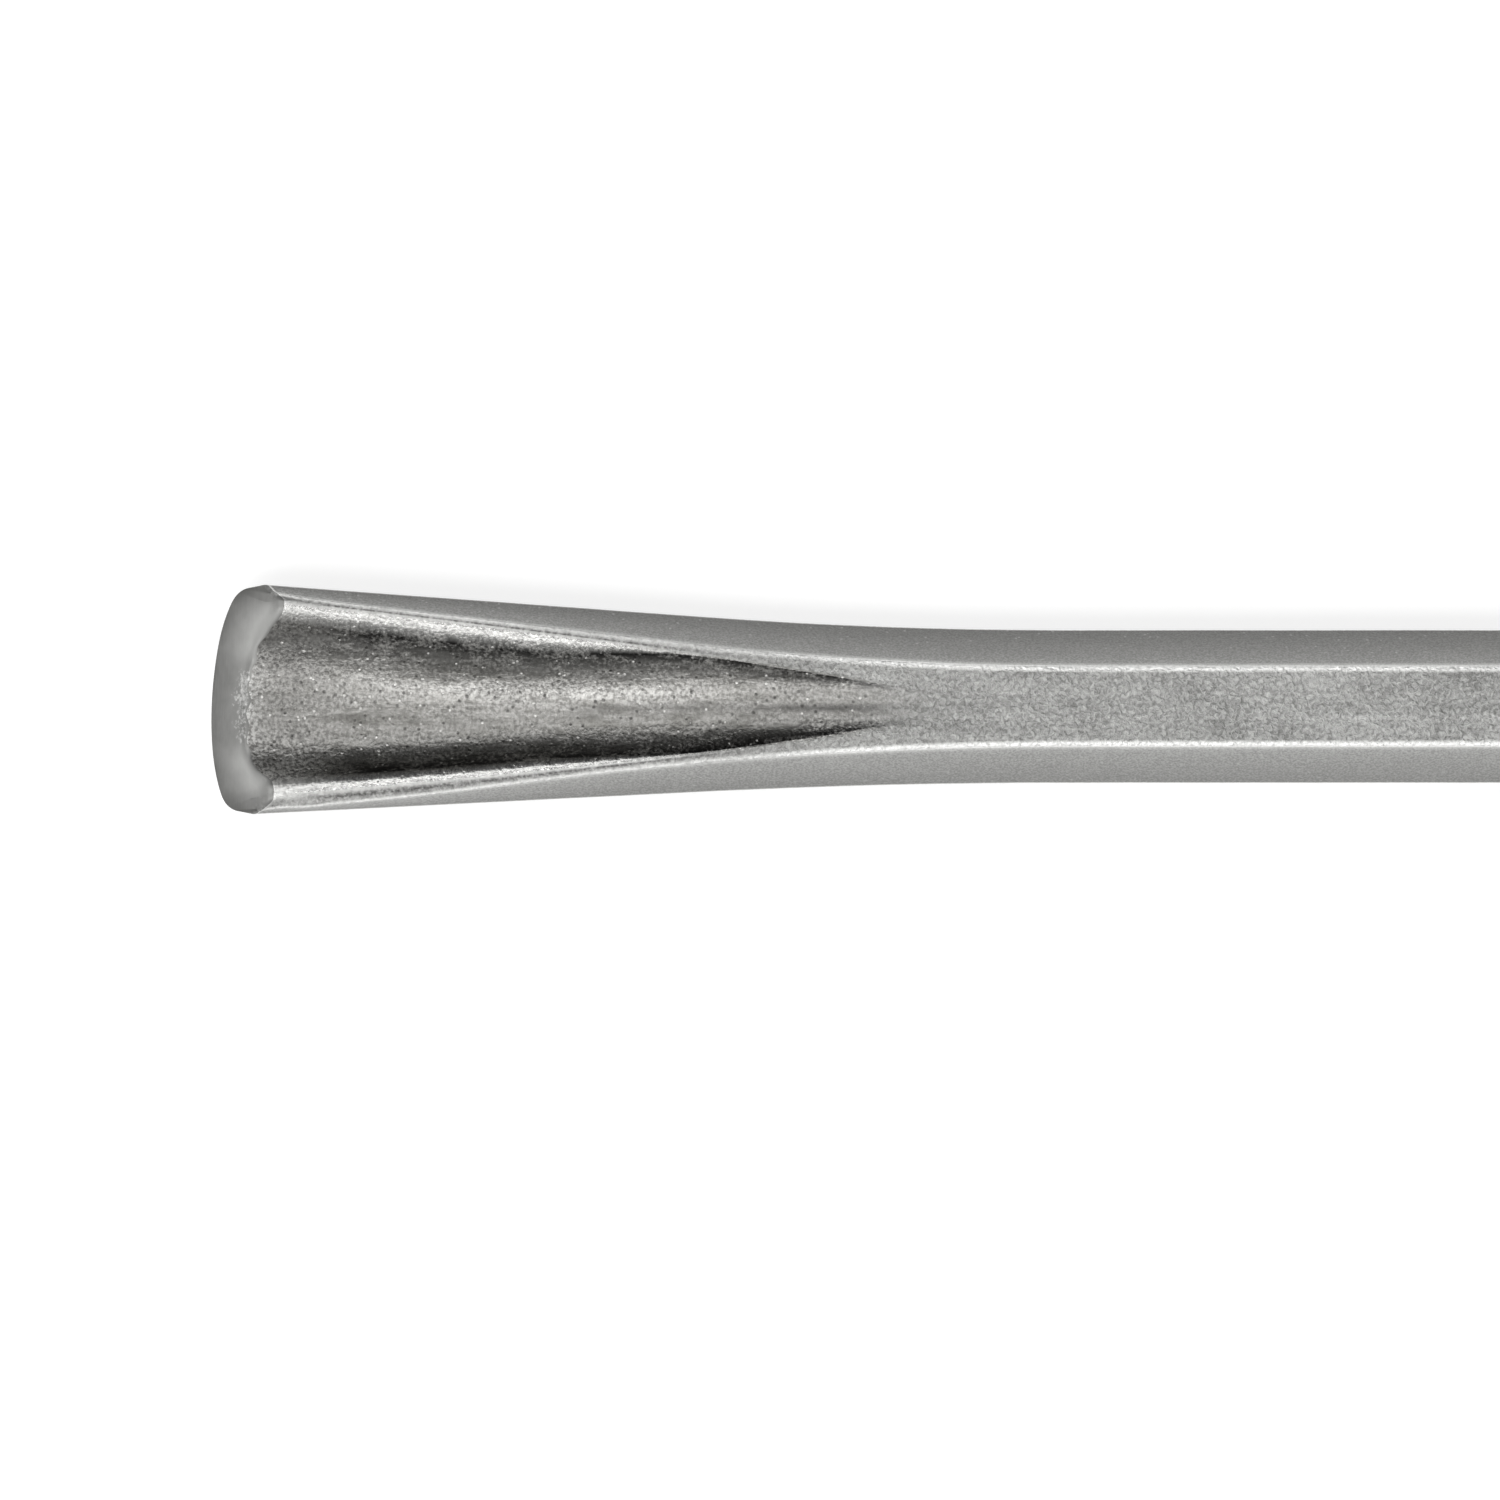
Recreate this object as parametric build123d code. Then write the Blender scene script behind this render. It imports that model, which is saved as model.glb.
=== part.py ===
from build123d import *
import os
from math import atan2, copysign, degrees, radians, sqrt, tan

# Channel chisel, forged in one piece from hexagonal bar.
# Millimetres. The origin lies on the shank's axis, where the round shank meets its shoulder.
# +X runs towards the end of the shank, so the cutting edge lies at -X.
# +Z is up: the channel is pressed into the top, and the chisel lies on the bar's lower flat.
# A reach is a distance from the cutting edge, measured along the bar.

# Whole tool
OVERALL_LENGTH = 250.0

# Hexagonal bar, one flat up and one flat down
BAR_FLATS = 13.0
BAR_EDGE_RADIUS = 0.8
FLANK_ANGLE = 60.0  # slope of the upper side faces, which they keep all along the head

# Flared head, forged out of the bar
HEAD_LENGTH = 83.0  # from the cutting edge to where the bar has its full section
HEAD_BLEND = 36.0  # how much of that length is a curve; the rest is a straight taper
WIDEST_REACH = 5.0  # the widest place, just behind the ground end; the next sizes hold there
HEAD_WIDTH = 22.2  # over the side edges, before they are rounded
RIM_DROP = 3.75  # how far the rims lie under the bar's top flat
SIDE_LINE_RISE = 1.2  # how far the side edges have risen above the bar's own
BELLY_SPREAD = 6.55  # how far each lower corner of the bar has moved out
BELLY_CURVE = 3.9  # and how far it has risen, which bows the lower flat into a round belly
BELLY_RADIUS = 4.0  # rounding of those lower corners
RIM_EDGE_RADIUS = 0.5  # outer edge of the rims
HEAD_LEAN = 0.7  # how far the forging leans to +Y

# Channel
CHANNEL_LENGTH = 72.3  # from the cutting edge to where the floor meets the top flat
CHANNEL_WIDTH = 20.2  # at the cutting edge, between the crowns of the two rims
CHANNEL_PLAN_POWER = 0.7  # how the width closes in plan: 1 is a straight taper, 0.5 a round nose
CHANNEL_FLOOR = 5.6  # metal left under the floor, at the cutting edge
CHANNEL_CLIMB_POWER = 1.78  # how the floor starts to climb: 1 is an even slope, 2 starts level
CHANNEL_RUN_OUT_POWER = 1.5  # how the floor ends: 1 meets the top flat at an angle, more is softer
CHANNEL_NOSE_RADIUS = 16.0  # section of the fuller where it runs out
RIM_RADIUS = 2.6  # rounding from the channel's wall to the rim's land, near the cutting edge
RIM_SHARP_RADIUS = 0.3  # the same where the edge has turned sharp
RIM_ROUND_REACH = 30.0  # the first holds up to here
RIM_SHARP_REACH = 50.0  # and the second from here on
RIM_LIP = 0.03  # the land cuts this much off the crown of the rounding

# Ground end
BEVEL_ANGLE = 35.5  # from upright, over most of its height
BEVEL_FOOT_ANGLE = 22.0  # from upright, at the cutting edge
BEVEL_FOOT_RADIUS = 22.0  # curve between the two
BEVEL_SKEW = 3.0  # the end is ground this much out of square, with the -Y corner forward
EDGE_BREAK = 0.2  # rounding all round the ground end, where the burr is taken off

# Shank
SHANK_DIAMETER = 10.0
SHANK_LENGTH = 52.0  # round stretch, from the shoulder to the end
SHANK_END_CHAMFER = 1.2
SHOULDER_ANGLE = 35.0  # cone that turns the hexagon down, from the axis
SHOULDER_FILLET = 2.0

# Closed grooves for the locking balls, above and below
BALL_GROOVE_RADIUS = 3.5
BALL_GROOVE_DEPTH = 1.8
BALL_GROOVE_LENGTH = 18.0
BALL_GROOVE_START = 6.5  # from the end of the shank

# Open grooves that the hammer turns the tool by, at both sides
DRIVE_GROOVE_WIDTH = 3.2
DRIVE_GROOVE_DEPTH = 1.4
DRIVE_GROOVE_LENGTH = 26.0
DRIVE_GROOVE_CUTTER = 15.0  # radius of the milling cutter, which gives the run-out

# Where the sections of the two lofts stand, as shares of the stretch that they divide
TAPER_STATIONS = (0.25, 0.5, 0.75, 1)
BLEND_STATIONS = (0.25, 0.5, 0.7, 0.85, 0.95, 1)
CHANNEL_STATIONS = (0.07, 0.18, 0.29, 0.4, 0.51, 0.6, 0.68, 0.76, 0.84, 0.92)

# How far cutters reach past what they cut
CLEAR = 3.0
WIDE_CLEAR = 9.0

TIP_X = SHANK_LENGTH - OVERALL_LENGTH
HALF_FLATS = BAR_FLATS / 2
HALF_CORNERS = BAR_FLATS / sqrt(3)
SHANK_RADIUS = SHANK_DIAMETER / 2


def spread_amount(reach):
    """How far the flare has grown at this reach, on no scale yet."""
    grown = max(HEAD_LENGTH - reach, 0)
    if grown < HEAD_BLEND:
        return grown**2 / (2 * HEAD_BLEND)
    return grown - HEAD_BLEND / 2


def spread(reach):
    """The same as a share: 0 on the bar and 1 at the head's widest place."""
    return spread_amount(reach) / spread_amount(WIDEST_REACH)


def rim_height(reach):
    return HALF_FLATS - RIM_DROP * spread(reach)


def section_plane(reach):
    """The plane across the tool at this reach, with local X along +Y and local Y up."""
    origin = (TIP_X + reach, HEAD_LEAN * spread(reach), 0)
    return Plane(origin=origin, x_dir=(0, 1, 0), z_dir=(1, 0, 0))


def rounded(face, corners, radii):
    """The face with each of these corners rounded to its own radius."""
    for corner, radius in zip(corners, radii):
        vertex = face.vertices().sort_by_distance(corner)[0]
        face = face.fillet_2d(radius, [vertex])
    return face


def body_section(reach):
    """Outline of bar and head, before the channel: a hexagon that spreads and grows a belly."""
    grown = spread(reach)
    side_y = HALF_CORNERS + (HEAD_WIDTH / 2 - HALF_CORNERS) * grown
    side_z = SIDE_LINE_RISE * grown
    rim_z = rim_height(reach)
    rim_y = side_y - (rim_z - side_z) / tan(radians(FLANK_ANGLE))
    belly_y = HALF_CORNERS / 2 + BELLY_SPREAD * grown
    belly_z = -HALF_FLATS + BELLY_CURVE * grown
    rim_r = BAR_EDGE_RADIUS + (RIM_EDGE_RADIUS - BAR_EDGE_RADIUS) * grown
    belly_r = BAR_EDGE_RADIUS + (BELLY_RADIUS - BAR_EDGE_RADIUS) * grown
    corners = [
        (-rim_y, rim_z),
        (rim_y, rim_z),
        (side_y, side_z),
        (belly_y, belly_z),
        (-belly_y, belly_z),
        (-side_y, side_z),
    ]
    sides = [Line(corners[at - 1], corners[at]) for at in (0, 1, 2, 3, 5)]
    if grown > 0:
        sides.append(ThreePointArc(corners[3], (0, -HALF_FLATS), corners[4]))
    else:
        sides.append(Line(corners[3], corners[4]))
    radii = [rim_r, rim_r, BAR_EDGE_RADIUS, belly_r, belly_r, BAR_EDGE_RADIUS]
    return section_plane(reach) * rounded(make_face(Wire(sides)).face(), corners, radii)


def forged_head():
    """The head before the channel, spread out of the hexagon."""
    taper = HEAD_LENGTH - HEAD_BLEND
    reaches = [-CLEAR] + [taper * share for share in TAPER_STATIONS]
    reaches += [taper + HEAD_BLEND * share for share in BLEND_STATIONS]
    return loft([body_section(reach) for reach in reaches])


def sharpness(reach):
    """0 where the rim is fully rounded and 1 where it is a sharp edge, with an even change."""
    share = (reach - RIM_ROUND_REACH) / (RIM_SHARP_REACH - RIM_ROUND_REACH)
    share = min(max(share, 0), 1)
    return share * share * (3 - 2 * share)


def rim_radius(reach):
    return RIM_RADIUS + (RIM_SHARP_RADIUS - RIM_RADIUS) * sharpness(reach)


def floor_height(reach):
    """Height of the channel's floor. It climbs, runs out into the top flat and goes on above it."""
    left = 1 - (max(reach, 0) / CHANNEL_LENGTH) ** CHANNEL_CLIMB_POWER
    share = copysign(abs(left) ** CHANNEL_RUN_OUT_POWER, left)
    return HALF_FLATS - (BAR_FLATS - CHANNEL_FLOOR) * share


def crown_height(reach):
    """Height of the rims' crowns: a lip above the land, and past the run-out above the floor."""
    return max(rim_height(reach) + RIM_LIP, floor_height(reach) + rim_radius(reach))


def fuller_radius(reach):
    """Radius of the channel's floor, from its width in plan and its depth there."""
    depth = rim_height(reach) + RIM_LIP - floor_height(reach)
    if depth <= 0:
        return CHANNEL_NOSE_RADIUS
    half_width = CHANNEL_WIDTH / 2 * (1 - reach / CHANNEL_LENGTH) ** CHANNEL_PLAN_POWER
    radius = (half_width**2 + depth**2) / (2 * depth) - rim_radius(reach)
    return min(radius, CHANNEL_NOSE_RADIUS)


def channel_section(reach):
    """Section of the fuller that presses the channel: a round floor and two rounded shoulders."""
    floor_r, rim_r, crown = fuller_radius(reach), rim_radius(reach), crown_height(reach)
    floor_centre = floor_height(reach) + floor_r
    rim_centre_z = crown - rim_r
    rise = floor_centre - rim_centre_z
    rim_centre_y = sqrt((floor_r + rim_r) ** 2 - rise**2)
    turn = degrees(atan2(rim_centre_y, rise))
    top = HALF_FLATS + WIDE_CLEAR
    outline = [
        CenterArc((0, floor_centre), floor_r, -90 - turn, 2 * turn),
        CenterArc((rim_centre_y, rim_centre_z), rim_r, 90, turn),
        Line((rim_centre_y, crown), (rim_centre_y, top)),
        Line((rim_centre_y, top), (-rim_centre_y, top)),
        Line((-rim_centre_y, top), (-rim_centre_y, crown)),
        CenterArc((-rim_centre_y, rim_centre_z), rim_r, 90 - turn, turn),
    ]
    return section_plane(reach) * make_face(Wire(outline))


def channel():
    """The space that the fuller takes, from in front of the cutting edge to past the run-out."""
    reaches = [-CLEAR] + [CHANNEL_LENGTH * share for share in CHANNEL_STATIONS]
    reaches += [CHANNEL_LENGTH + CLEAR, CHANNEL_LENGTH + WIDE_CLEAR]
    return loft([channel_section(reach) for reach in reaches])


def bevel_waste():
    """What is ground off in front of the end: a slope that steepens towards the cutting edge."""
    foot = Vector(0, -HALF_FLATS)
    foot_way = Vector(0, 1).rotate(Axis.Z, -BEVEL_FOOT_ANGLE)
    slope_way = Vector(0, 1).rotate(Axis.Z, -BEVEL_ANGLE)
    below = foot - foot_way * CLEAR
    curve = JernArc(foot, foot_way, BEVEL_FOOT_RADIUS, BEVEL_FOOT_ANGLE - BEVEL_ANGLE)
    above = curve @ 1 + slope_way * (BAR_FLATS + CLEAR)
    front = -WIDE_CLEAR
    outline = [
        Line(below, foot),
        curve,
        Line(curve @ 1, above),
        Line(above, (front, above.Y)),
        Line((front, above.Y), (front, below.Y)),
        Line((front, below.Y), below),
    ]
    profile = Plane.XZ * make_face(Wire(outline))
    waste = extrude(profile, HEAD_WIDTH / 2 + CLEAR, both=True)
    return Pos(TIP_X, HEAD_LEAN, 0) * Rot(0, 0, -BEVEL_SKEW) * waste


def finished_head():
    """The head with its channel and its ground end, and the edges of that end broken."""
    head = forged_head() - channel() - bevel_waste()
    ground = head.faces().filter_by(GeomType.PLANE).sort_by(Axis.X)[0]
    return fillet(ground.edges().filter_by(GeomType.BSPLINE), EDGE_BREAK)


def turned_stretch():
    """Shoulder and shank as turned. Over the bar it is wide open, so that it cuts nothing there."""
    wide = BAR_FLATS
    root = -SHOULDER_FILLET * tan(radians(SHOULDER_ANGLE / 2))
    cone_start = root - (wide - SHANK_RADIUS) / tan(radians(SHOULDER_ANGLE))
    corners = [
        (TIP_X, 0),
        (TIP_X, wide),
        (cone_start, wide),
        (root, SHANK_RADIUS),
        (SHANK_LENGTH - SHANK_END_CHAMFER, SHANK_RADIUS),
        (SHANK_LENGTH, SHANK_RADIUS - SHANK_END_CHAMFER),
        (SHANK_LENGTH, 0),
    ]
    radii = [0, 0, 0, SHOULDER_FILLET, 0, 0, 0]
    profile = make_face(FilletPolyline(*corners, radius=radii, close=True))
    return revolve(profile, Axis.X)


def ball_groove():
    """One closed groove for a locking ball, on top of the shank: a round trough with round ends."""
    height = SHANK_RADIUS - BALL_GROOVE_DEPTH + BALL_GROOVE_RADIUS
    end_reach = sqrt(BALL_GROOVE_RADIUS**2 - (height - SHANK_RADIUS) ** 2)
    straight = BALL_GROOVE_LENGTH - 2 * end_reach
    middle = SHANK_LENGTH - BALL_GROOVE_START - BALL_GROOVE_LENGTH / 2
    trough = Cylinder(BALL_GROOVE_RADIUS, straight, rotation=(0, 90, 0))
    for end in (-1, 1):
        trough += Pos(end * straight / 2, 0, 0) * Sphere(BALL_GROOVE_RADIUS)
    return Pos(middle, 0, height) * trough


def drive_groove():
    """One open groove at the +Y side. Its floor rises along the milling cutter where it ends."""
    floor = SHANK_RADIUS - DRIVE_GROOVE_DEPTH
    run_out = sqrt(DRIVE_GROOVE_CUTTER**2 - (DRIVE_GROOVE_CUTTER - DRIVE_GROOVE_DEPTH) ** 2)
    start = SHANK_LENGTH - DRIVE_GROOVE_LENGTH
    outside = SHANK_RADIUS + CLEAR
    past_end = SHANK_LENGTH + CLEAR
    outline = [
        Line((past_end, outside), (start, outside)),
        Line((start, outside), (start, SHANK_RADIUS)),
        RadiusArc((start, SHANK_RADIUS), (start + run_out, floor), DRIVE_GROOVE_CUTTER),
        Line((start + run_out, floor), (past_end, floor)),
        Line((past_end, floor), (past_end, outside)),
    ]
    return extrude(make_face(Wire(outline)), DRIVE_GROOVE_WIDTH / 2, both=True)


def bar_and_shank():
    """Hexagonal bar behind the head, turned down and grooved at its back end."""
    bar = extrude(body_section(HEAD_LENGTH), OVERALL_LENGTH - HEAD_LENGTH)
    bar = bar & turned_stretch()
    for turn in (0, 180):
        bar -= Rot(turn, 0, 0) * ball_groove()
        bar -= Rot(turn, 0, 0) * drive_groove()
    return bar


def chisel():
    return finished_head() + bar_and_shank()


os.makedirs("parts", exist_ok=True)
export_step(chisel(), "parts/chisel.step")
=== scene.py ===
# %% [markdown]
# A channel chisel for a rotary hammer, forged in one piece from hexagonal bar.
#
# The imported CAD model gives the frame: one body, called root, and one node, called chisel. This
# script builds a finer skin for that node, gives each surface the finish that its making leaves,
# paints some light and shade into those colours, and sets up floor, lamps and camera. Everything
# is measured in millimetres and turned to metres when it reaches Blender. +X runs to the end of
# the shank and +Z is up.

# %% Load the imported frame
import math

import bmesh
import bpy
import numpy as np
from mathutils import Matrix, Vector, noise


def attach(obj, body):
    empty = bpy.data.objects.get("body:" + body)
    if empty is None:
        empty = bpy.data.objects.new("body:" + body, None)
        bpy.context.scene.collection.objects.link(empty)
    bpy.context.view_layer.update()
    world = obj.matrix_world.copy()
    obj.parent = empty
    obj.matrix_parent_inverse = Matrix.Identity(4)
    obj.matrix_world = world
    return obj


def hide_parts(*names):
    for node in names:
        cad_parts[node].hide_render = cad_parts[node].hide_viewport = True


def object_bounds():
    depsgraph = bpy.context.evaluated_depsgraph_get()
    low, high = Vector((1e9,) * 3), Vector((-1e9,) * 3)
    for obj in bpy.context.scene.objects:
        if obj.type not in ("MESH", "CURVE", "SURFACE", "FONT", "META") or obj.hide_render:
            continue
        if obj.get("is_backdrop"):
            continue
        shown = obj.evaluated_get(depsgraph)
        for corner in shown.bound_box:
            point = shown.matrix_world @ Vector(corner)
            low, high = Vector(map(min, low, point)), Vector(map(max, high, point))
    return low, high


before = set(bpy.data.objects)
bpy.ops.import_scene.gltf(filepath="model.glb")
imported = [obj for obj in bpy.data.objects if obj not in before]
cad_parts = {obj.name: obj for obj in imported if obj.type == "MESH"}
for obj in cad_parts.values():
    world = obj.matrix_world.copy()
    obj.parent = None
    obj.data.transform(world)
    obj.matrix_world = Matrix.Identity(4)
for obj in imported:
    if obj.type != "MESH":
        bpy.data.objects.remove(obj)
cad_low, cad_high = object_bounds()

MM = 0.001
print("CAD box in mm", [round(v / MM, 2) for v in (*cad_low, *cad_high)])

# %% [markdown]
# The sizes of the real tool. They are the driving dimensions of the CAD model, so that the skin
# made here has the same form. A reach is a distance from the cutting edge along the bar.

# %% Sizes of the chisel
OVERALL_LENGTH = 250.0
SHANK_LENGTH = 52.0
SHANK_RADIUS = 5.0
BAR_FLATS = 13.0
BAR_EDGE_RADIUS = 0.8
FLANK_ANGLE = math.radians(60)

HEAD_LENGTH = 83.0
HEAD_BLEND = 36.0
WIDEST_REACH = 5.0
HEAD_WIDTH = 22.2
RIM_DROP = 3.75
SIDE_LINE_RISE = 1.2
BELLY_SPREAD = 6.55
BELLY_CURVE = 3.9
BELLY_RADIUS = 4.0
HEAD_LEAN = 0.7

CHANNEL_LENGTH = 72.3
CHANNEL_WIDTH = 20.2
CHANNEL_PLAN_POWER = 0.7
CHANNEL_FLOOR = 5.6
CHANNEL_CLIMB_POWER = 1.78
CHANNEL_RUN_OUT_POWER = 1.5
RIM_RADIUS = 2.6
RIM_SHARP_RADIUS = 0.3
RIM_ROUND_REACH = 30.0
RIM_SHARP_REACH = 50.0
RIM_LIP = 0.03

BEVEL_ANGLE = math.radians(35.5)
BEVEL_FOOT_ANGLE = math.radians(22)
BEVEL_FOOT_RADIUS = 22.0
BEVEL_SKEW = math.radians(3)

TIP_X = SHANK_LENGTH - OVERALL_LENGTH
HALF_FLATS = BAR_FLATS / 2
HALF_CORNERS = BAR_FLATS / math.sqrt(3)
print("cutting edge at x", TIP_X, "mm, bar over its corners", round(2 * HALF_CORNERS, 2), "mm")

# %% [markdown]
# The head is the bar, spread out by forging. It could be pulled into shape by hand from a few
# faces. Here it is worked out, so that it keeps the sizes above and has no lumps. How far it has
# spread is one number, 0 on the bar and 1 at the widest place, and the other sizes of a section
# follow from it. The functions take whole arrays, so that one call gives all points of a surface.

# %% How the head spreads and the channel sinks


def soft_step(value, low, high):
    """0 below low and 1 above high, with an even change between."""
    share = np.clip((value - low) / (high - low), 0, 1)
    return share * share * (3 - 2 * share)


def spread(reach):
    grown = np.maximum(HEAD_LENGTH - reach, 0)
    amount = np.where(grown < HEAD_BLEND, grown**2 / (2 * HEAD_BLEND), grown - HEAD_BLEND / 2)
    return amount / (HEAD_LENGTH - WIDEST_REACH - HEAD_BLEND / 2)


def lean(reach):
    return HEAD_LEAN * spread(reach)


def rim_height(reach):
    return HALF_FLATS - RIM_DROP * spread(reach)


def rim_radius(reach):
    sharp = soft_step(reach, RIM_ROUND_REACH, RIM_SHARP_REACH)
    return RIM_RADIUS + (RIM_SHARP_RADIUS - RIM_RADIUS) * sharp


def floor_height(reach):
    left = 1 - (np.maximum(reach, 0) / CHANNEL_LENGTH) ** CHANNEL_CLIMB_POWER
    share = np.sign(left) * np.abs(left) ** CHANNEL_RUN_OUT_POWER
    return HALF_FLATS - (BAR_FLATS - CHANNEL_FLOOR) * share


def channel_half_width(reach):
    left = np.clip(1 - reach / CHANNEL_LENGTH, 0, 1)
    return CHANNEL_WIDTH / 2 * left**CHANNEL_PLAN_POWER


print("channel depth at reach 5, 30, 60 mm",
      np.round(rim_height(np.array([5, 30, 60])) - floor_height(np.array([5, 30, 60])), 2))

# %% [markdown]
# A section is a hexagon whose corners move out as the head spreads. Each corner and each rounding
# is a small function of the reach. The belly is an arc through both lower corners and the lowest
# point, and on the bar it is as good as straight.

# %% Corners and roundings of a section
BAR_ROLL_RADIUS, RIM_ROLL_RADIUS, ROLL_TURN = 2.0, 0.8, math.radians(16)
TIGHT_RADIUS = 0.12
TINY = 1e-3  # keeps a depth or a rise from becoming nothing
FLANK_OUT = math.pi / 2 - FLANK_ANGLE
LAND_CROWN = 0.015
ROLL_OFF, ROLL_OFF_FADE = 0.9, 1.9
NOSE_HALF_WIDTH, NOSE_BLEND = 1.3, 4


def between(start, end, share):
    return start + (end - start) * share


def side_corner(reach):
    g = spread(reach)
    return between(HALF_CORNERS, HEAD_WIDTH / 2, g), SIDE_LINE_RISE * g


def roll_off(reach):
    """How far the outer edge of the rim has sunk near the ground end."""
    return ROLL_OFF * np.exp(-np.maximum(reach - WIDEST_REACH, 0) / ROLL_OFF_FADE)


def rim_corner(reach):
    y, z = side_corner(reach)
    height = rim_height(reach) - roll_off(reach)
    return y - (height - z) / math.tan(FLANK_ANGLE), height


def lower_corner(reach):
    g = spread(reach)
    return HALF_CORNERS / 2 + BELLY_SPREAD * g, -HALF_FLATS + BELLY_CURVE * g


def edge_points(reach, share):
    """The rim's outer edge: a wide, faint roll that ends in a tight rounding to the flank."""
    y, z = rim_corner(reach)
    roll = between(BAR_ROLL_RADIUS, RIM_ROLL_RADIUS, spread(reach))
    drop = roll * (1 - math.cos(ROLL_TURN))
    drop += TIGHT_RADIUS * (math.cos(ROLL_TURN) - math.cos(FLANK_ANGLE))
    width = roll * math.sin(ROLL_TURN)
    width += TIGHT_RADIUS * (math.sin(FLANK_ANGLE) - math.sin(ROLL_TURN))
    start_y = y + drop / math.tan(FLANK_ANGLE) - width
    turn = np.minimum(share * 2, 1) * ROLL_TURN
    more = ROLL_TURN + np.maximum(share * 2 - 1, 0) * (FLANK_ANGLE - ROLL_TURN)
    out = roll * np.sin(turn) + TIGHT_RADIUS * (np.sin(more) - math.sin(ROLL_TURN))
    down = roll * (1 - np.cos(turn)) + TIGHT_RADIUS * (math.cos(ROLL_TURN) - np.cos(more))
    return start_y + out, z - down


def land_end(reach):
    return edge_points(reach, np.zeros_like(reach))[0]


def under_out(reach):
    """The way that the lower side face looks, as an angle above level."""
    (side_y, side_z), (low_y, low_z) = side_corner(reach), lower_corner(reach)
    return np.arctan2(low_y - side_y, side_z - low_z)


def belly_arc(reach):
    """Height of the centre of the belly's arc, and its radius."""
    low_y, low_z = lower_corner(reach)
    rise = np.maximum(low_z + HALF_FLATS, TINY)
    radius = (low_y**2 + rise**2) / (2 * rise)
    return radius - HALF_FLATS, radius


def lower_rounding(reach):
    """Centre and radius of the rounding between the lower side face and the belly."""
    radius = between(BAR_EDGE_RADIUS, BELLY_RADIUS, spread(reach))
    out = under_out(reach)
    (side_y, side_z), (arc_z, arc_r) = side_corner(reach), belly_arc(reach)
    start_y, start_z = side_y - radius * np.cos(out), side_z - radius * np.sin(out) - arc_z
    way_y, way_z = np.sin(out), -np.cos(out)
    along = start_y * way_y + start_z * way_z
    far = start_y**2 + start_z**2 - (arc_r - radius) ** 2
    along = np.sqrt(along**2 - far) - along
    return start_y + along * way_y, start_z + along * way_z + arc_z, radius


def wall_line(reach):
    """Half-width of the channel, kept from closing to nothing where it runs out."""
    raised = channel_half_width(reach) ** NOSE_BLEND + NOSE_HALF_WIDTH**NOSE_BLEND
    return raised ** (1 / NOSE_BLEND)


print("land between wall and rim edge at reach 10, 30, 60 mm",
      np.round(land_end(np.array([10, 30, 60])) - wall_line(np.array([10, 30, 60])), 2))

# %% [markdown]
# The top of a section is the lower of two surfaces: the land, which the die leaves nearly flat,
# and the groove that the fuller presses. The groove's floor is a power curve, flat in the middle
# and steeper towards the wall, and it passes into the rounding of the rim without a kink. How
# steep the wall has to be for that follows from width and depth, and is found by halving. A soft
# minimum joins land and groove, with the small rounding that a blasted edge has.

# %% Height of the top surface
EDGE_SOFTNESS = 0.012
TIP_POWER, MIDDLE_POWER, NOSE_POWER = 2.8, 2.1, 3.4
TIP_TO_MIDDLE, MIDDLE_TO_NOSE = (6, 30), (44, 62)  # reaches between which the power changes
STEEPEST_WALL = math.radians(80)
HALVINGS = 24
ROLL_OFF_POWER = 1.6
MOST_ABOVE = 1  # how far the groove's shape may lie above the land, where the channel has ended


def floor_power(reach):
    """2 is a round floor, and more is flatter with steeper walls."""
    power = between(TIP_POWER, MIDDLE_POWER, soft_step(reach, *TIP_TO_MIDDLE))
    return between(power, NOSE_POWER, soft_step(reach, *MIDDLE_TO_NOSE))


def groove_shape(reach):
    """Depth of the groove, slope of its wall, and half-width and rise where the rounding starts."""
    wall, rim, power = wall_line(reach), rim_radius(reach), floor_power(reach)
    depth = np.maximum(rim_height(reach) + RIM_LIP - floor_height(reach), TINY)
    low, high = np.zeros_like(wall), np.full_like(wall, STEEPEST_WALL)
    for halving in range(HALVINGS):
        slope = (low + high) / 2
        wanted = depth - rim * (1 - np.cos(slope))
        too_steep = np.tan(slope) * (wall - rim * np.sin(slope)) / power > wanted
        low, high = np.where(too_steep, low, slope), np.where(too_steep, slope, high)
    return depth, slope, wall - rim * np.sin(slope), depth - rim * (1 - np.cos(slope))


def groove_height(y, reach):
    rim, wall, crown = rim_radius(reach), wall_line(reach), rim_height(reach) + RIM_LIP
    depth, slope, start_y, start_rise = groove_shape(reach)
    floor = crown - depth + start_rise * (y / start_y) ** floor_power(reach)
    shoulder = crown - rim + np.sqrt(np.maximum(rim**2 - np.minimum(y - wall, 0) ** 2, 0))
    above = np.maximum(floor_height(reach) - crown, 0)
    return np.where(y < start_y, floor, shoulder) + np.minimum(above, MOST_ABOVE)


def land_height(y, reach):
    """The land falls a little to its edges, and near the ground end it rolls off outward."""
    share = np.clip((y - wall_line(reach)) / (land_end(reach) - wall_line(reach)), 0, 1)
    crown = LAND_CROWN * (land_end(reach) - wall_line(reach)) * (2 * share - 1) ** 2
    return rim_height(reach) - crown - roll_off(reach) * share**ROLL_OFF_POWER


def top_height(y, reach):
    land, groove = land_height(y, reach), groove_height(y, reach)
    return land - EDGE_SOFTNESS * np.logaddexp(0, (land - groove) / EDGE_SOFTNESS)


print("channel floor at reach 10, 40, 65 mm",
      np.round(top_height(np.zeros(3), np.array([10.0, 40.0, 65.0])), 2))

# %% [markdown]
# Half a section, from the centre of the top round the side to the centre of the bottom, is ten
# zones, each a straight or a round stretch with its own number of columns. Top and bottom get
# the same number, which lets the ground end be closed by straight rows between them.

# %% Points on each zone of a section


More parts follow.
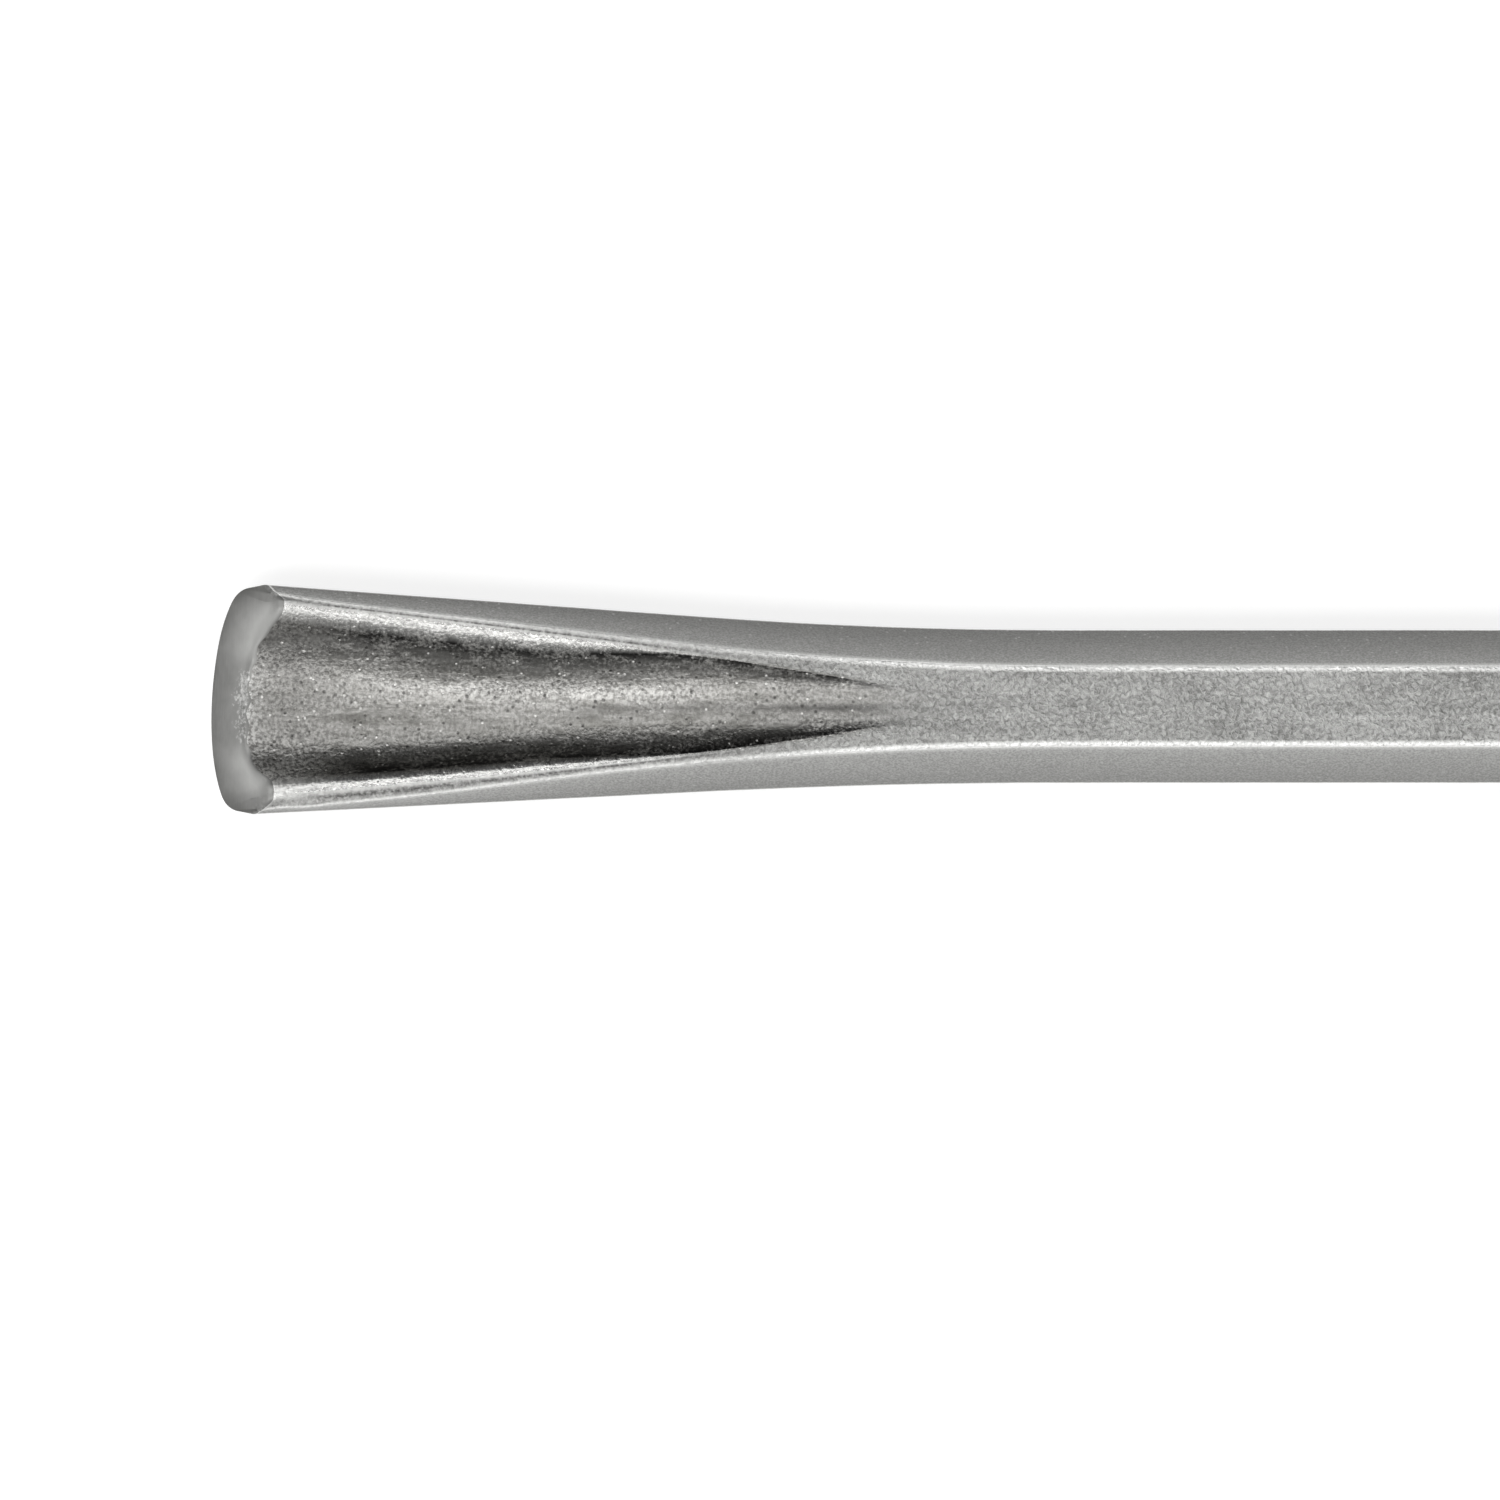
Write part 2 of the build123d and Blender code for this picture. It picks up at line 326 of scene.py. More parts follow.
def rounding(corner, radius, first, last, share):
    """Points on the rounding of a corner. first and last are the ways that its faces look."""
    cos_first, sin_first = np.cos(first), np.sin(first)
    scale = radius / (1 + np.cos(first - last))
    centre_y = corner[0] - scale * (cos_first + np.cos(last))
    centre_z = corner[1] - scale * (sin_first + np.sin(last))
    angle = between(first, last, share)
    return centre_y + radius * np.cos(angle), centre_z + radius * np.sin(angle)


def floor_zone(reach, share):
    y = groove_shape(reach)[2] * share
    return y, top_height(y, reach)


def shoulder_zone(reach, share):
    slope = groove_shape(reach)[1]
    y = wall_line(reach) - rim_radius(reach) * np.sin(slope * (1 - share))
    return y, top_height(y, reach)


def land_zone(reach, share):
    y = between(wall_line(reach), land_end(reach), share)
    return y, top_height(y, reach)


def rim_zone(reach, share):
    y, z = edge_points(reach, share)
    return y, z - LAND_CROWN * (land_end(reach) - wall_line(reach))


def side_zone(reach, share):
    return rounding(side_corner(reach), BAR_EDGE_RADIUS, FLANK_OUT, under_out(reach), share)


def flank_zone(reach, share):
    start, end = rim_zone(reach, 1), side_zone(reach, 0)
    return between(start[0], end[0], share), between(start[1], end[1], share)


def corner_zone(reach, share):
    y, z, radius = lower_rounding(reach)
    arc_z, arc_r = belly_arc(reach)
    angle = between(under_out(reach), np.arctan2(z - arc_z, y), share)
    return y + radius * np.cos(angle), z + radius * np.sin(angle)


def under_zone(reach, share):
    start, end = side_zone(reach, 1), corner_zone(reach, 0)
    return between(start[0], end[0], share), between(start[1], end[1], share)


def belly_zone(reach, share):
    y = corner_zone(reach, 1)[0] * (1 - share)
    arc_z, arc_r = belly_arc(reach)
    return y, y**2 / (arc_r + np.sqrt(arc_r**2 - y**2)) - HALF_FLATS


print("half width and height of the side corner at its widest, mm:",
      [round(float(v), 2) for v in side_corner(WIDEST_REACH)])

# %% [markdown]
# Now the columns are counted out. Each has a zone and a share of the way through it.

# %% Columns round half a section
TOP_ZONES = (
    # zone and its number of columns
    (floor_zone, 22), (shoulder_zone, 10), (land_zone, 4), (rim_zone, 8), (flank_zone, 7),
)
FLANK_CROWDING = 1.8
SIDE_COLUMNS = 3
BOTTOM_ZONES = ((under_zone, 10), (corner_zone, 17), (belly_zone, 24))

columns = [(zone, (step / count) ** (FLANK_CROWDING if zone is flank_zone else 1))
           for zone, count in TOP_ZONES for step in range(count)]
columns += [(side_zone, step / SIDE_COLUMNS / 2) for step in range(2 * SIDE_COLUMNS + 1)]
columns += [(zone, (step + 1) / count) for zone, count in BOTTOM_ZONES for step in range(count)]
HALF = len(columns) // 2
assert len(columns) == 2 * HALF + 1


def half_section(reach):
    """y and z of all columns. reach has a row for each place along the tool."""
    y, z = np.zeros(reach.shape), np.zeros(reach.shape)
    for zone in dict.fromkeys(zone for zone, share in columns):
        here = [at for at, column in enumerate(columns) if column[0] is zone]
        share = np.array([columns[at][1] for at in here])
        y[:, here], z[:, here] = zone(reach[:, here], share)
    return y, z


print("columns round the section:", 4 * HALF)

# %% [markdown]
# No two forgings are quite alike. Here the fuller has sunk a little off centre, and on the -Y side
# it has left a wider shoulder and a rim that stands out. This could be shaped by hand on the
# finished skin. Adding it to the sections keeps every row smooth. Most of it is a few tenths of a
# millimetre, but the floor's lowest line strays by 1.5 mm, 20 mm behind the cutting edge.

# %% Unevenness of this forging
SWAY, SWAY_REACH, SWAY_LENGTH = 1.5, 20.0, 18.0
WIDER, FLATTER, FLATTER_ENDS = 0.5, 0.5, (36, 56)
RIM_OUT, RIM_OUT_STARTS, RIM_OUT_ENDS = 0.6, (4, 10), (16, 44)

in_groove = np.array([zone in (floor_zone, shoulder_zone) for zone, share in columns])
rim_part = np.array([share if zone is land_zone else 1.0 if zone is rim_zone
                     else 1 - share if zone is flank_zone else 0.0 for zone, share in columns])


def uneven(y, reach, side):
    """The fuller has sunk a little off centre, and has left the -Y shoulder wider."""
    across = np.minimum(y / wall_line(reach), 1)
    share = across**2
    sway = SWAY * np.exp(-(((reach - SWAY_REACH) / SWAY_LENGTH) ** 2))
    moved = y - side * sway * (1 - share) ** 2
    if side < 0:
        moved = moved - WIDER * spread(reach) ** 2 * 4 * share**2 * (1 - share**2)
        moved = moved + FLATTER * 4 * across * (1 - across) * (1 - soft_step(reach, *FLATTER_ENDS))
    return moved


def section_ring(reach):
    """y and z of the closed rings. reach has one column for each column of points."""
    right = reach[:, :2 * HALF + 1]
    left = reach[:, [0] + list(range(4 * HALF - 1, 2 * HALF - 1, -1))]
    y_right, z_right = half_section(right)
    y_left, z_left = half_section(left)
    y_right = np.where(in_groove, uneven(y_right, right, 1), y_right)
    y_left = np.where(in_groove, uneven(y_left, left, -1), y_left)
    out_by = RIM_OUT * rim_part * soft_step(left, *RIM_OUT_STARTS)
    y_left = y_left + out_by * (1 - soft_step(left, *RIM_OUT_ENDS))
    y = np.concatenate([y_right, -y_left[:, -2:0:-1]], axis=1)
    z = np.concatenate([z_right, z_left[:, -2:0:-1]], axis=1)
    return y + lean(reach), z


print("columns in the groove:", 2 * int(in_groove.sum()) - 1)

# %% [markdown]
# The end is ground after forging: a slope that is steeper at its foot, and a little out of
# square. Each column starts exactly on that slope. Its place is found by trying the reach that
# the slope has at the column's own height, a few times over.

# %% Where the ground end cuts each column
FOOT_TOP = -HALF_FLATS + BEVEL_FOOT_RADIUS * (math.sin(BEVEL_ANGLE) - math.sin(BEVEL_FOOT_ANGLE))
TRIES = 30


def bevel_reach(y, z):
    """Reach of the ground slope at this place across the tool."""
    rise = (np.clip(z, -HALF_FLATS, FOOT_TOP) + HALF_FLATS) / BEVEL_FOOT_RADIUS
    sine = math.sin(BEVEL_FOOT_ANGLE) + rise
    foot = BEVEL_FOOT_RADIUS * (math.cos(BEVEL_FOOT_ANGLE) - np.sqrt(1 - sine**2))
    slope = foot + np.maximum(z - FOOT_TOP, 0) * math.tan(BEVEL_ANGLE)
    return (slope + math.sin(BEVEL_SKEW) * (y - HEAD_LEAN)) / math.cos(BEVEL_SKEW)


start = np.zeros((1, 4 * HALF))
for attempt in range(TRIES):
    y, z = section_ring(start)
    moved = bevel_reach(y, z) - start
    start = start + moved
print("ground end reaches", round(float(start.min()), 2), "to", round(float(start.max()), 2), "mm")
print("left over after the last try", float(np.abs(moved).max()))

# %% [markdown]
# Along the tool, the rows stand close together in the head and further apart on the bar. Behind
# the ground end the columns start where the slope cuts them, and over the first 40 mm they even
# out to straight rings. The edge all round the ground end isn't sharp: each column begins a
# little behind it, and the end face begins a little inside it. The break is a hair at the cutting
# edge and nearly a millimetre on the rims, and along the floor it is ragged.

# %% Rows of points along head and bar
ROW_STEP = 0.32
LAST_ROW_STEP = 3.0
ROW_GROWTH = 1.09
BAR_END_X = -12.0
EVEN_OUT = 40.0
EDGE_BREAK_FLOOR, EDGE_BREAK_RIM, EDGE_BREAK_SIDE, EDGE_BREAK_CUTTING = 0.5, 0.9, 0.3, 0.05
FLOOR_TO_RIM, RIM_TO_SIDE, SIDE_TO_CUTTING = (14, 26), (34, 44), (50, 68)  # columns
EDGE_UNEVEN, JAG_LENGTH, JAGGED_UP_TO = 0.8, 1.3, (20, 30)

places, step = [0.0], ROW_STEP
while places[-1] < BAR_END_X - TIP_X:
    step = ROW_STEP if places[-1] < HEAD_LENGTH else min(step * ROW_GROWTH, LAST_ROW_STEP)
    places.append(places[-1] + step)
places = np.array(places) * (BAR_END_X - TIP_X) / places[-1]

ring_y, ring_z = section_ring(start)
from_top = np.concatenate([np.arange(2 * HALF + 1), np.arange(2 * HALF - 1, 0, -1)])
edge_break = between(EDGE_BREAK_FLOOR, EDGE_BREAK_RIM, soft_step(from_top, *FLOOR_TO_RIM))
edge_break = between(edge_break, EDGE_BREAK_SIDE, soft_step(from_top, *RIM_TO_SIDE))
edge_break = between(edge_break, EDGE_BREAK_CUTTING, soft_step(from_top, *SIDE_TO_CUTTING))
jags = [noise.noise(Vector((y / JAG_LENGTH, 0.0, 0.0))) for y in ring_y[0]]
jagged = 1 + EDGE_UNEVEN * np.array(jags)
edge_break = edge_break * between(jagged, 1.0, soft_step(from_top, *JAGGED_UP_TO))
first_row = start + edge_break
body_reach = places[:, None] + first_row * np.clip(1 - places[:, None] / EVEN_OUT, 0, 1)
body_y, body_z = section_ring(body_reach)
body = np.stack([TIP_X + body_reach, body_y, body_z], axis=-1)
print("rows along head and bar:", len(places))

# %% [markdown]
# The end face: from each point of its outline a row runs inward by the width of the broken edge,
# and the rounding between is a curve bent towards the old sharp corner. Straight rows from top to
# bottom close the face. Every point gets its x from the ground slope, so the face lies on it.

# %% Points of the ground end and its broken edge
BREAK_STEPS = 4
END_ROWS = 18

corner_line = np.stack([TIP_X + start[0], ring_y[0], ring_z[0]], axis=-1)
along = np.roll(corner_line, -1, axis=0) - np.roll(corner_line, 1, axis=0)
length = np.hypot(along[:, 1], along[:, 2])
inward = np.stack([along[:, 2], -along[:, 1]], axis=-1) / length[:, None]
if inward[0, 1] > 0:
    inward = -inward
inset_y = corner_line[:, 1] + inward[:, 0] * edge_break
inset_z = corner_line[:, 2] + inward[:, 1] * edge_break
inset = np.stack([TIP_X + bevel_reach(inset_y, inset_z), inset_y, inset_z], axis=-1)

broken = []
for step in range(1, BREAK_STEPS):
    t = step / BREAK_STEPS
    broken.append(inset * (1 - t) ** 2 + corner_line * 2 * t * (1 - t) + body[0] * t**2)
shell = np.concatenate([inset[None], np.array(broken), body])

end_face = []
for side in range(-HALF + 1, HALF):
    top, bottom = inset[side % (4 * HALF)], inset[(2 * HALF - side) % (4 * HALF)]
    share = np.arange(1, END_ROWS)[:, None] / END_ROWS
    line = between(top, bottom, share)
    line[:, 0] = TIP_X + bevel_reach(line[:, 1], line[:, 2])
    end_face.append(line)
end_face = np.array(end_face)
print("points of the end face:", end_face.shape[0] * end_face.shape[1])

# %% [markdown]
# Four finishes are left by four kinds of work: forging and shot blasting, grinding, turning, and
# milling. One material could tell them apart by place, but a material for each lets every face
# carry the number of its own. They are made empty here and get their nodes further down.

# %% Name the finishes
FORGED, GROUND, TURNED, MILLED = range(4)
finish_names = ("shot_blasted_forged_steel", "ground_steel", "turned_steel", "milled_steel")
materials = [bpy.data.materials.new(name) for name in finish_names]
for material in materials:
    material.use_nodes = True
print("finishes:", ", ".join(finish_names))

# %% [markdown]
# The rear end is turned down to a round shank, and grooves are milled in it. Rings of points, as
# in the head, can't follow the curved line where the cone leaves each flat of the hexagon. So the
# bar's end is cut the way the workshop does it, with solids for the lathe's work and the cutters.
# Booleans with the exact solver keep those curved lines crisp.

# %% Helpers for solids


def mesh_object(name, points, faces, finish=FORGED):
    """A new object from points in millimetres, with all its faces in one finish."""
    mesh = bpy.data.meshes.new(name)
    mesh.from_pydata([tuple(p * MM for p in point) for point in points], [], faces)
    for material in materials:
        mesh.materials.append(material)
    mesh.polygons.foreach_set("material_index", [finish] * len(faces))
    made = bpy.data.objects.new(name, mesh)
    bpy.context.scene.collection.objects.link(made)
    print("made", name, "with", len(faces), "faces")
    return made


def ring_faces(rows, count, first=0):
    """Quads between rings of points that follow each other."""
    faces = []
    for row in range(rows - 1):
        a, b = first + row * count, first + (row + 1) * count
        for at in range(count):
            after = (at + 1) % count
            faces.append((a + at, a + after, b + after, b + at))
    return faces


def turned(name, profile, finish, steps):
    """A solid of revolution about the X axis. profile lists (x, radius), both ends off the axis."""
    angles = [2 * math.pi * (at + 0.5) / steps for at in range(steps)]
    points = [(x, r * math.cos(a), r * math.sin(a)) for x, r in profile for a in angles]
    faces = ring_faces(len(profile), steps)
    faces.append(tuple(range(steps))[::-1])
    faces.append(tuple(range(len(points) - steps, len(points))))
    return mesh_object(name, points, faces, finish)


def cut(target, tool, operation):
    """Applies one boolean to target's mesh and removes the tool."""
    change = target.modifiers.new(operation.lower(), "BOOLEAN")
    change.operation, change.object, change.solver = operation, tool, "EXACT"
    seen = target.evaluated_get(bpy.context.evaluated_depsgraph_get())
    mesh = bpy.data.meshes.new_from_object(seen)
    target.modifiers.clear()
    target.data = mesh
    bpy.data.objects.remove(tool)
    print(operation.lower(), "leaves", len(mesh.polygons), "faces")


def fix_sides(target):
    """Turns all faces of a closed solid outward."""
    solid = bmesh.new()
    solid.from_mesh(target.data)
    bmesh.ops.recalc_face_normals(solid, faces=solid.faces)
    solid.to_mesh(target.data)
    solid.free()


# %% [markdown]
# The lathe's profile runs from outside the bar down the shoulder's cone, through the fillet at its
# foot, along the shank and over the chamfer at its end. Turned about the axis it gives a solid,
# and what that solid shares with the end of the hexagonal bar is the turned rear of the tool.

# %% Turn the shank
SHANK_END_CHAMFER = 1.2
SHOULDER_ANGLE = math.radians(35)
SHOULDER_FILLET = 2.0
ROUND_STEPS, FILLET_STEPS, SHANK_STEPS = 96, 8, 25
CLEAR = 3.0  # how far cutters and blanks reach past what they meet

root = -SHOULDER_FILLET * math.tan(SHOULDER_ANGLE / 2)
wide = BAR_FLATS - CLEAR
cone_start = root - (wide - SHANK_RADIUS) / math.tan(SHOULDER_ANGLE)
profile = [(BAR_END_X - CLEAR, wide), (cone_start, wide)]
for step in range(FILLET_STEPS + 1):
    a = SHOULDER_ANGLE * (1 - step / FILLET_STEPS)
    x = -SHOULDER_FILLET * math.sin(a)
    profile.append((x, SHANK_RADIUS + SHOULDER_FILLET * (1 - math.cos(a))))
chamfer_x = SHANK_LENGTH - SHANK_END_CHAMFER
profile += [(x, SHANK_RADIUS) for x in np.linspace(0, chamfer_x, SHANK_STEPS + 1)[1:]]
profile += [(SHANK_LENGTH, SHANK_RADIUS - SHANK_END_CHAMFER)]
lathe = turned("lathe", profile, TURNED, ROUND_STEPS)

last_ring = body[-1]
far_ring = last_ring.copy()
far_ring[:, 0] = SHANK_LENGTH + CLEAR
count = 4 * HALF
faces = ring_faces(2, count) + [tuple(range(count))[::-1], tuple(range(count, 2 * count))]
rear = mesh_object("rear", np.concatenate([last_ring, far_ring]), faces)
fix_sides(rear)
fix_sides(lathe)
cut(rear, lathe, "INTERSECT")

# %% [markdown]
# A ball groove is a round trough with round ends, so its cutter is a capsule. A drive groove is a
# slot whose floor rises along the round of the milling cutter.

# %% Mill the grooves
BALL_GROOVE_RADIUS, BALL_GROOVE_DEPTH = 3.5, 1.8
BALL_GROOVE_LENGTH, BALL_GROOVE_START = 18.0, 6.5
DRIVE_GROOVE_WIDTH, DRIVE_GROOVE_DEPTH, DRIVE_GROOVE_LENGTH = 3.2, 1.4, 26.0
DRIVE_GROOVE_CUTTER = 15.0
CAPSULE_STEPS, ROUND_END_STEPS, RUN_OUT_STEPS = 48, 13, 9
CAPSULE_POLE = 89.0  # degrees, just short of the axis


def ball_cutter(turn):
    height = SHANK_RADIUS - BALL_GROOVE_DEPTH + BALL_GROOVE_RADIUS
    end_reach = math.sqrt(BALL_GROOVE_RADIUS**2 - (height - SHANK_RADIUS) ** 2)
    half = BALL_GROOVE_LENGTH / 2 - end_reach
    middle_x = SHANK_LENGTH - BALL_GROOVE_START - BALL_GROOVE_LENGTH / 2
    profile = []
    for end, first, last in ((-1, -CAPSULE_POLE, 0), (1, 0, CAPSULE_POLE)):
        for a in np.radians(np.linspace(first, last, ROUND_END_STEPS)):
            x = end * half + BALL_GROOVE_RADIUS * math.sin(a)
            profile.append((x, BALL_GROOVE_RADIUS * math.cos(a)))
    tool = turned("ball_cutter", profile, MILLED, CAPSULE_STEPS)
    for vertex in tool.data.vertices:
        x, y, z = vertex.co / MM
        vertex.co = Vector((x + middle_x, turn * y, turn * (z + height))) * MM
    return tool


def drive_cutter(side):
    floor = SHANK_RADIUS - DRIVE_GROOVE_DEPTH
    start_x = SHANK_LENGTH - DRIVE_GROOVE_LENGTH
    sweep = math.acos(1 - DRIVE_GROOVE_DEPTH / DRIVE_GROOVE_CUTTER)
    outside = SHANK_RADIUS + CLEAR
    run_out = DRIVE_GROOVE_CUTTER * math.sin(sweep)
    outline = [(SHANK_LENGTH + CLEAR, outside), (start_x, outside)]
    for a in np.linspace(sweep, 0, RUN_OUT_STEPS):
        x = start_x + run_out - DRIVE_GROOVE_CUTTER * math.sin(a)
        outline.append((x, floor + DRIVE_GROOVE_CUTTER * (1 - math.cos(a))))
    outline.append((SHANK_LENGTH + CLEAR, floor))
    n = len(outline)
    half = DRIVE_GROOVE_WIDTH / 2
    points = [(x, side * y, z) for z in (-half, half) for x, y in outline]
    faces = ring_faces(2, n) + [tuple(range(n))[::-1], tuple(range(n, 2 * n))]
    return mesh_object("drive_cutter", points, faces, MILLED)


for turn in (1, -1):
    for tool in (ball_cutter(turn), drive_cutter(turn)):
        fix_sides(tool)
        cut(rear, tool, "DIFFERENCE")

# %% [markdown]
# Head, end face and rear become one closed mesh. The rear's front ring has the same points as the
# last ring of the bar, so those points are shared and nothing shows where they meet.

# %% Join everything into one closed mesh
SAME_PLACE = 1e-3
rows = len(shell)
head_points = np.concatenate([shell.reshape(-1, 3), end_face.reshape(-1, 3)])


def end_index(side, step):
    """Number of a point of the end face. The first and last of each row lie on the outline."""
    if step == 0 or abs(side) == HALF:
        return side % count
    if step == END_ROWS:
        return (2 * HALF - side) % count
    return rows * count + (side + HALF - 1) * (END_ROWS - 1) + step - 1


faces = ring_faces(rows, count)
finishes = [GROUND if at < BREAK_STEPS * count else FORGED for at in range(len(faces))]
for side in range(-HALF, HALF):
    for step in range(END_ROWS):
        quad = [end_index(side, step), end_index(side, step + 1)]
        quad += [end_index(side + 1, step + 1), end_index(side + 1, step)]
        corners = tuple(dict.fromkeys(quad))
        if len(corners) > 2:
            faces.append(corners)
            finishes.append(GROUND)

rear_points = np.array([vertex.co[:] for vertex in rear.data.vertices]) / MM
number = np.arange(len(rear_points)) + len(head_points)
at_seam = np.abs(rear_points[:, 0] - BAR_END_X) < SAME_PLACE
for at in np.flatnonzero(at_seam):
    gaps = np.linalg.norm(last_ring - rear_points[at], axis=1)
    assert gaps.min() < SAME_PLACE
    number[at] = (rows - 1) * count + int(gaps.argmin())
for face in rear.data.polygons:
    corners = tuple(dict.fromkeys(int(number[at]) for at in face.vertices))
    if not all(at_seam[at] for at in face.vertices):
        faces.append(corners)
        finishes.append(face.material_index)
points = np.concatenate([head_points, rear_points])
bpy.data.objects.remove(rear)

skin = mesh_object("chisel_skin", points, faces)
skin.data.polygons.foreach_set("material_index", finishes)
solid = bmesh.new()
solid.from_mesh(skin.data)
bmesh.ops.delete(solid, geom=[v for v in solid.verts if not v.link_faces], context="VERTS")
bmesh.ops.recalc_face_normals(solid, faces=solid.faces)
open_edges = sum(1 for edge in solid.edges if not edge.is_manifold)
solid.to_mesh(skin.data)
solid.free()
print("faces", len(skin.data.polygons), "open edges", open_edges)

# %% [markdown]
# A material can't tell where on the tool it is, but it can read numbers that the skin's points
# carry, which Blender calls attributes. They could be painted by hand. Here they are worked out,
# because the zone, the share and the reach of every point are known. Each map runs from 0 for
# nothing to 1 for all, and the materials further down mix their colours and shine by it.

# %% Helpers for maps of the skin
mesh = skin.data
total, ring_total = len(mesh.vertices), rows * count
reach_of = np.zeros((rows, count))
reach_of[BREAK_STEPS:] = body_reach
y_of = shell[..., 1]
near_side = np.arange(count) >= 2 * HALF
maps = {}


def by_zone(values, rest=0.0):
    """One value for each column of the ring. A zone has a number or a function of the share."""
    found = [(values.get(zone, rest), share) for zone, share in columns]
    half = np.array([value(share) if callable(value) else value for value, share in found])
    return np.concatenate([half, half[-2:0:-1]])


def keep_map(name, on_rings, on_end=0.0, elsewhere=0.0):
    """Keeps one value for each point, from values on the rings and on the end face."""
    values = np.full(total, elsewhere)
    values[:ring_total] = np.broadcast_to(on_rings, (rows, count)).ravel()
    values[ring_total:len(head_points)] = np.ravel(on_end)
    maps[name] = values
    print("map", name, "reaches", int((values > 0).sum()), "of", total, "points")


# %% [markdown]
# The first map tells where the fuller has pressed: in the channel, fading where it runs out. The
# second tells how coarse the blasting has left the skin. It is coarsest on top of the bar, finer
# on the sides, and fine on the head, which the dies have smoothed.

# %% Map the pressed and the blasted steel
PRESSED_ENDS = (CHANNEL_LENGTH - 13, CHANNEL_LENGTH + 1)
HEAD_COARSENESS, SIDE_COARSENESS, COARSENS = 0.4, 0.3, (35, 62)

in_channel = by_zone({floor_zone: 1, shoulder_zone: 1})
keep_map("pressed", in_channel * (1 - soft_step(reach_of, *PRESSED_ENDS)))
on_top = dict.fromkeys((floor_zone, shoulder_zone, land_zone, rim_zone), 1)
on_bar = by_zone(on_top, rest=SIDE_COARSENESS)
coarseness = between(HEAD_COARSENESS, on_bar, soft_step(reach_of, *COARSENS))
keep_map("coarse", coarseness, HEAD_COARSENESS, HEAD_COARSENESS)

# %% [markdown]
# Edges are painted bright, bare worn metal and painted highlight together: the outer edges of bar
# and rims, and the broken edge of the ground end where it passes over land and sides. The rounded
# rims are painted bright too, partly polish from sliding along the die and partly painted
# highlight, more on the -Y side. On the land between them and the outer edge a dark line of
# painted shade stands for the dark that the flat land mirrors.

# %% Map the worn edges, their painted highlight and the land's painted shade
EDGE_RISE, EDGE_FADE = 3, 0.03
HEAD_WEAR, WEAR_GROWS = 0.5, (48, 68)
LAND_BREAK_WEAR, LAND_BREAK = 0.3, (22, 30)
SIDE_BREAK_WEAR, SIDE_BREAK = 0.5, (34, 38)
LAND_SHINE, FAR_SHINE, SHINE_ENDS = 0.4, 0.75, (34, 56)
LAND_SHADE_STARTS, LAND_SHADE_ENDS = (8, 12), (40, 60)

# Bright edges: bare worn metal together with a painted highlight.
on_edge = by_zone({
    rim_zone: lambda share: min(share * EDGE_RISE, 1),
    flank_zone: lambda share: math.exp(-share / EDGE_FADE),
    side_zone: lambda share: math.sin(math.pi * share),
})
edge = on_edge * between(HEAD_WEAR, 1.0, soft_step(reach_of, *WEAR_GROWS))
ramp = np.arange(BREAK_STEPS + 1)[:, None] / BREAK_STEPS
break_wear = LAND_BREAK_WEAR * soft_step(from_top, *LAND_BREAK)
break_wear = break_wear + SIDE_BREAK_WEAR * soft_step(from_top, *SIDE_BREAK)
edge[:BREAK_STEPS + 1] = ramp * break_wear
keep_map("edge", edge)

# Painted highlight with polish: the rims and both ends of the land, more on the -Y side.
polish_and_sheen = by_zone({
    shoulder_zone: lambda share: share,
    land_zone: lambda share: LAND_SHINE * abs(2 * share - 1),
})
polish_and_sheen = polish_and_sheen * np.where(near_side, 1.0, FAR_SHINE)
keep_map("rim", polish_and_sheen * (1 - soft_step(reach_of, *SHINE_ENDS)))
# Painted shade: a dark line along the land, for the dark gap between the lamps that it mirrors.
land_shade = by_zone({land_zone: lambda share: math.sin(math.pi * share)})
land_shade = land_shade * soft_step(reach_of, *LAND_SHADE_STARTS)
keep_map("painted_land_shade", land_shade * (1 - soft_step(reach_of, *LAND_SHADE_ENDS)))

# %% [markdown]
# The steep walls of the channel are painted nearly black: partly dark scale, partly painted shade
# in the recess. The painted shade thins out towards the ground end, and on the -Y side it reaches
# further down. The sides of the tool are painted darker than its top as shade, darkest towards the
# outline, and its belly lies between. This painted shade is lighter on the -Y side than on +Y.

# %% Map the dark walls and the sides' painted shade
WALL_FOOT_POWER, WALL_TOP_POWER, NEAR_WALL_POWER = 3, 1.3, 0.55
NEAR_WALL_TIP, FAR_WALL_TIP, WALL_DARKENS = 0.12, 0.3, (7, 17)
NEAR_SIDE_TOP, FAR_SIDE_TOP, LIGHTER_SIDE = 0.05, 0.35, 0.6
BELLY_DARKNESS = 0.5

# Painted shade with dark scale: how dark the channel's walls are painted, less near the ground end.
on_wall = by_zone({
    floor_zone: lambda share: share**WALL_FOOT_POWER,
    shoulder_zone: lambda share: (1 - share) ** WALL_TOP_POWER,
})
on_wall = on_wall ** np.where(near_side, NEAR_WALL_POWER, 1.0)
at_tip = np.where(near_side, NEAR_WALL_TIP, FAR_WALL_TIP)
keep_map("wall", on_wall * between(at_tip, 1.0, soft_step(reach_of, *WALL_DARKENS)))

# Painted shade: sides darker than the top towards the outline, belly between, -Y side lighter.
down_side = by_zone({
    flank_zone: lambda share: share,
    side_zone: 1,
    under_zone: 1,
    corner_zone: lambda share: between(1, BELLY_DARKNESS, share),
    belly_zone: BELLY_DARKNESS,
})
at_top = np.where(near_side, NEAR_SIDE_TOP, FAR_SIDE_TOP)
darkest = np.where(near_side, LIGHTER_SIDE, 1.0)
keep_map("flank", np.where(down_side > 0, between(at_top, darkest, down_side), 0))

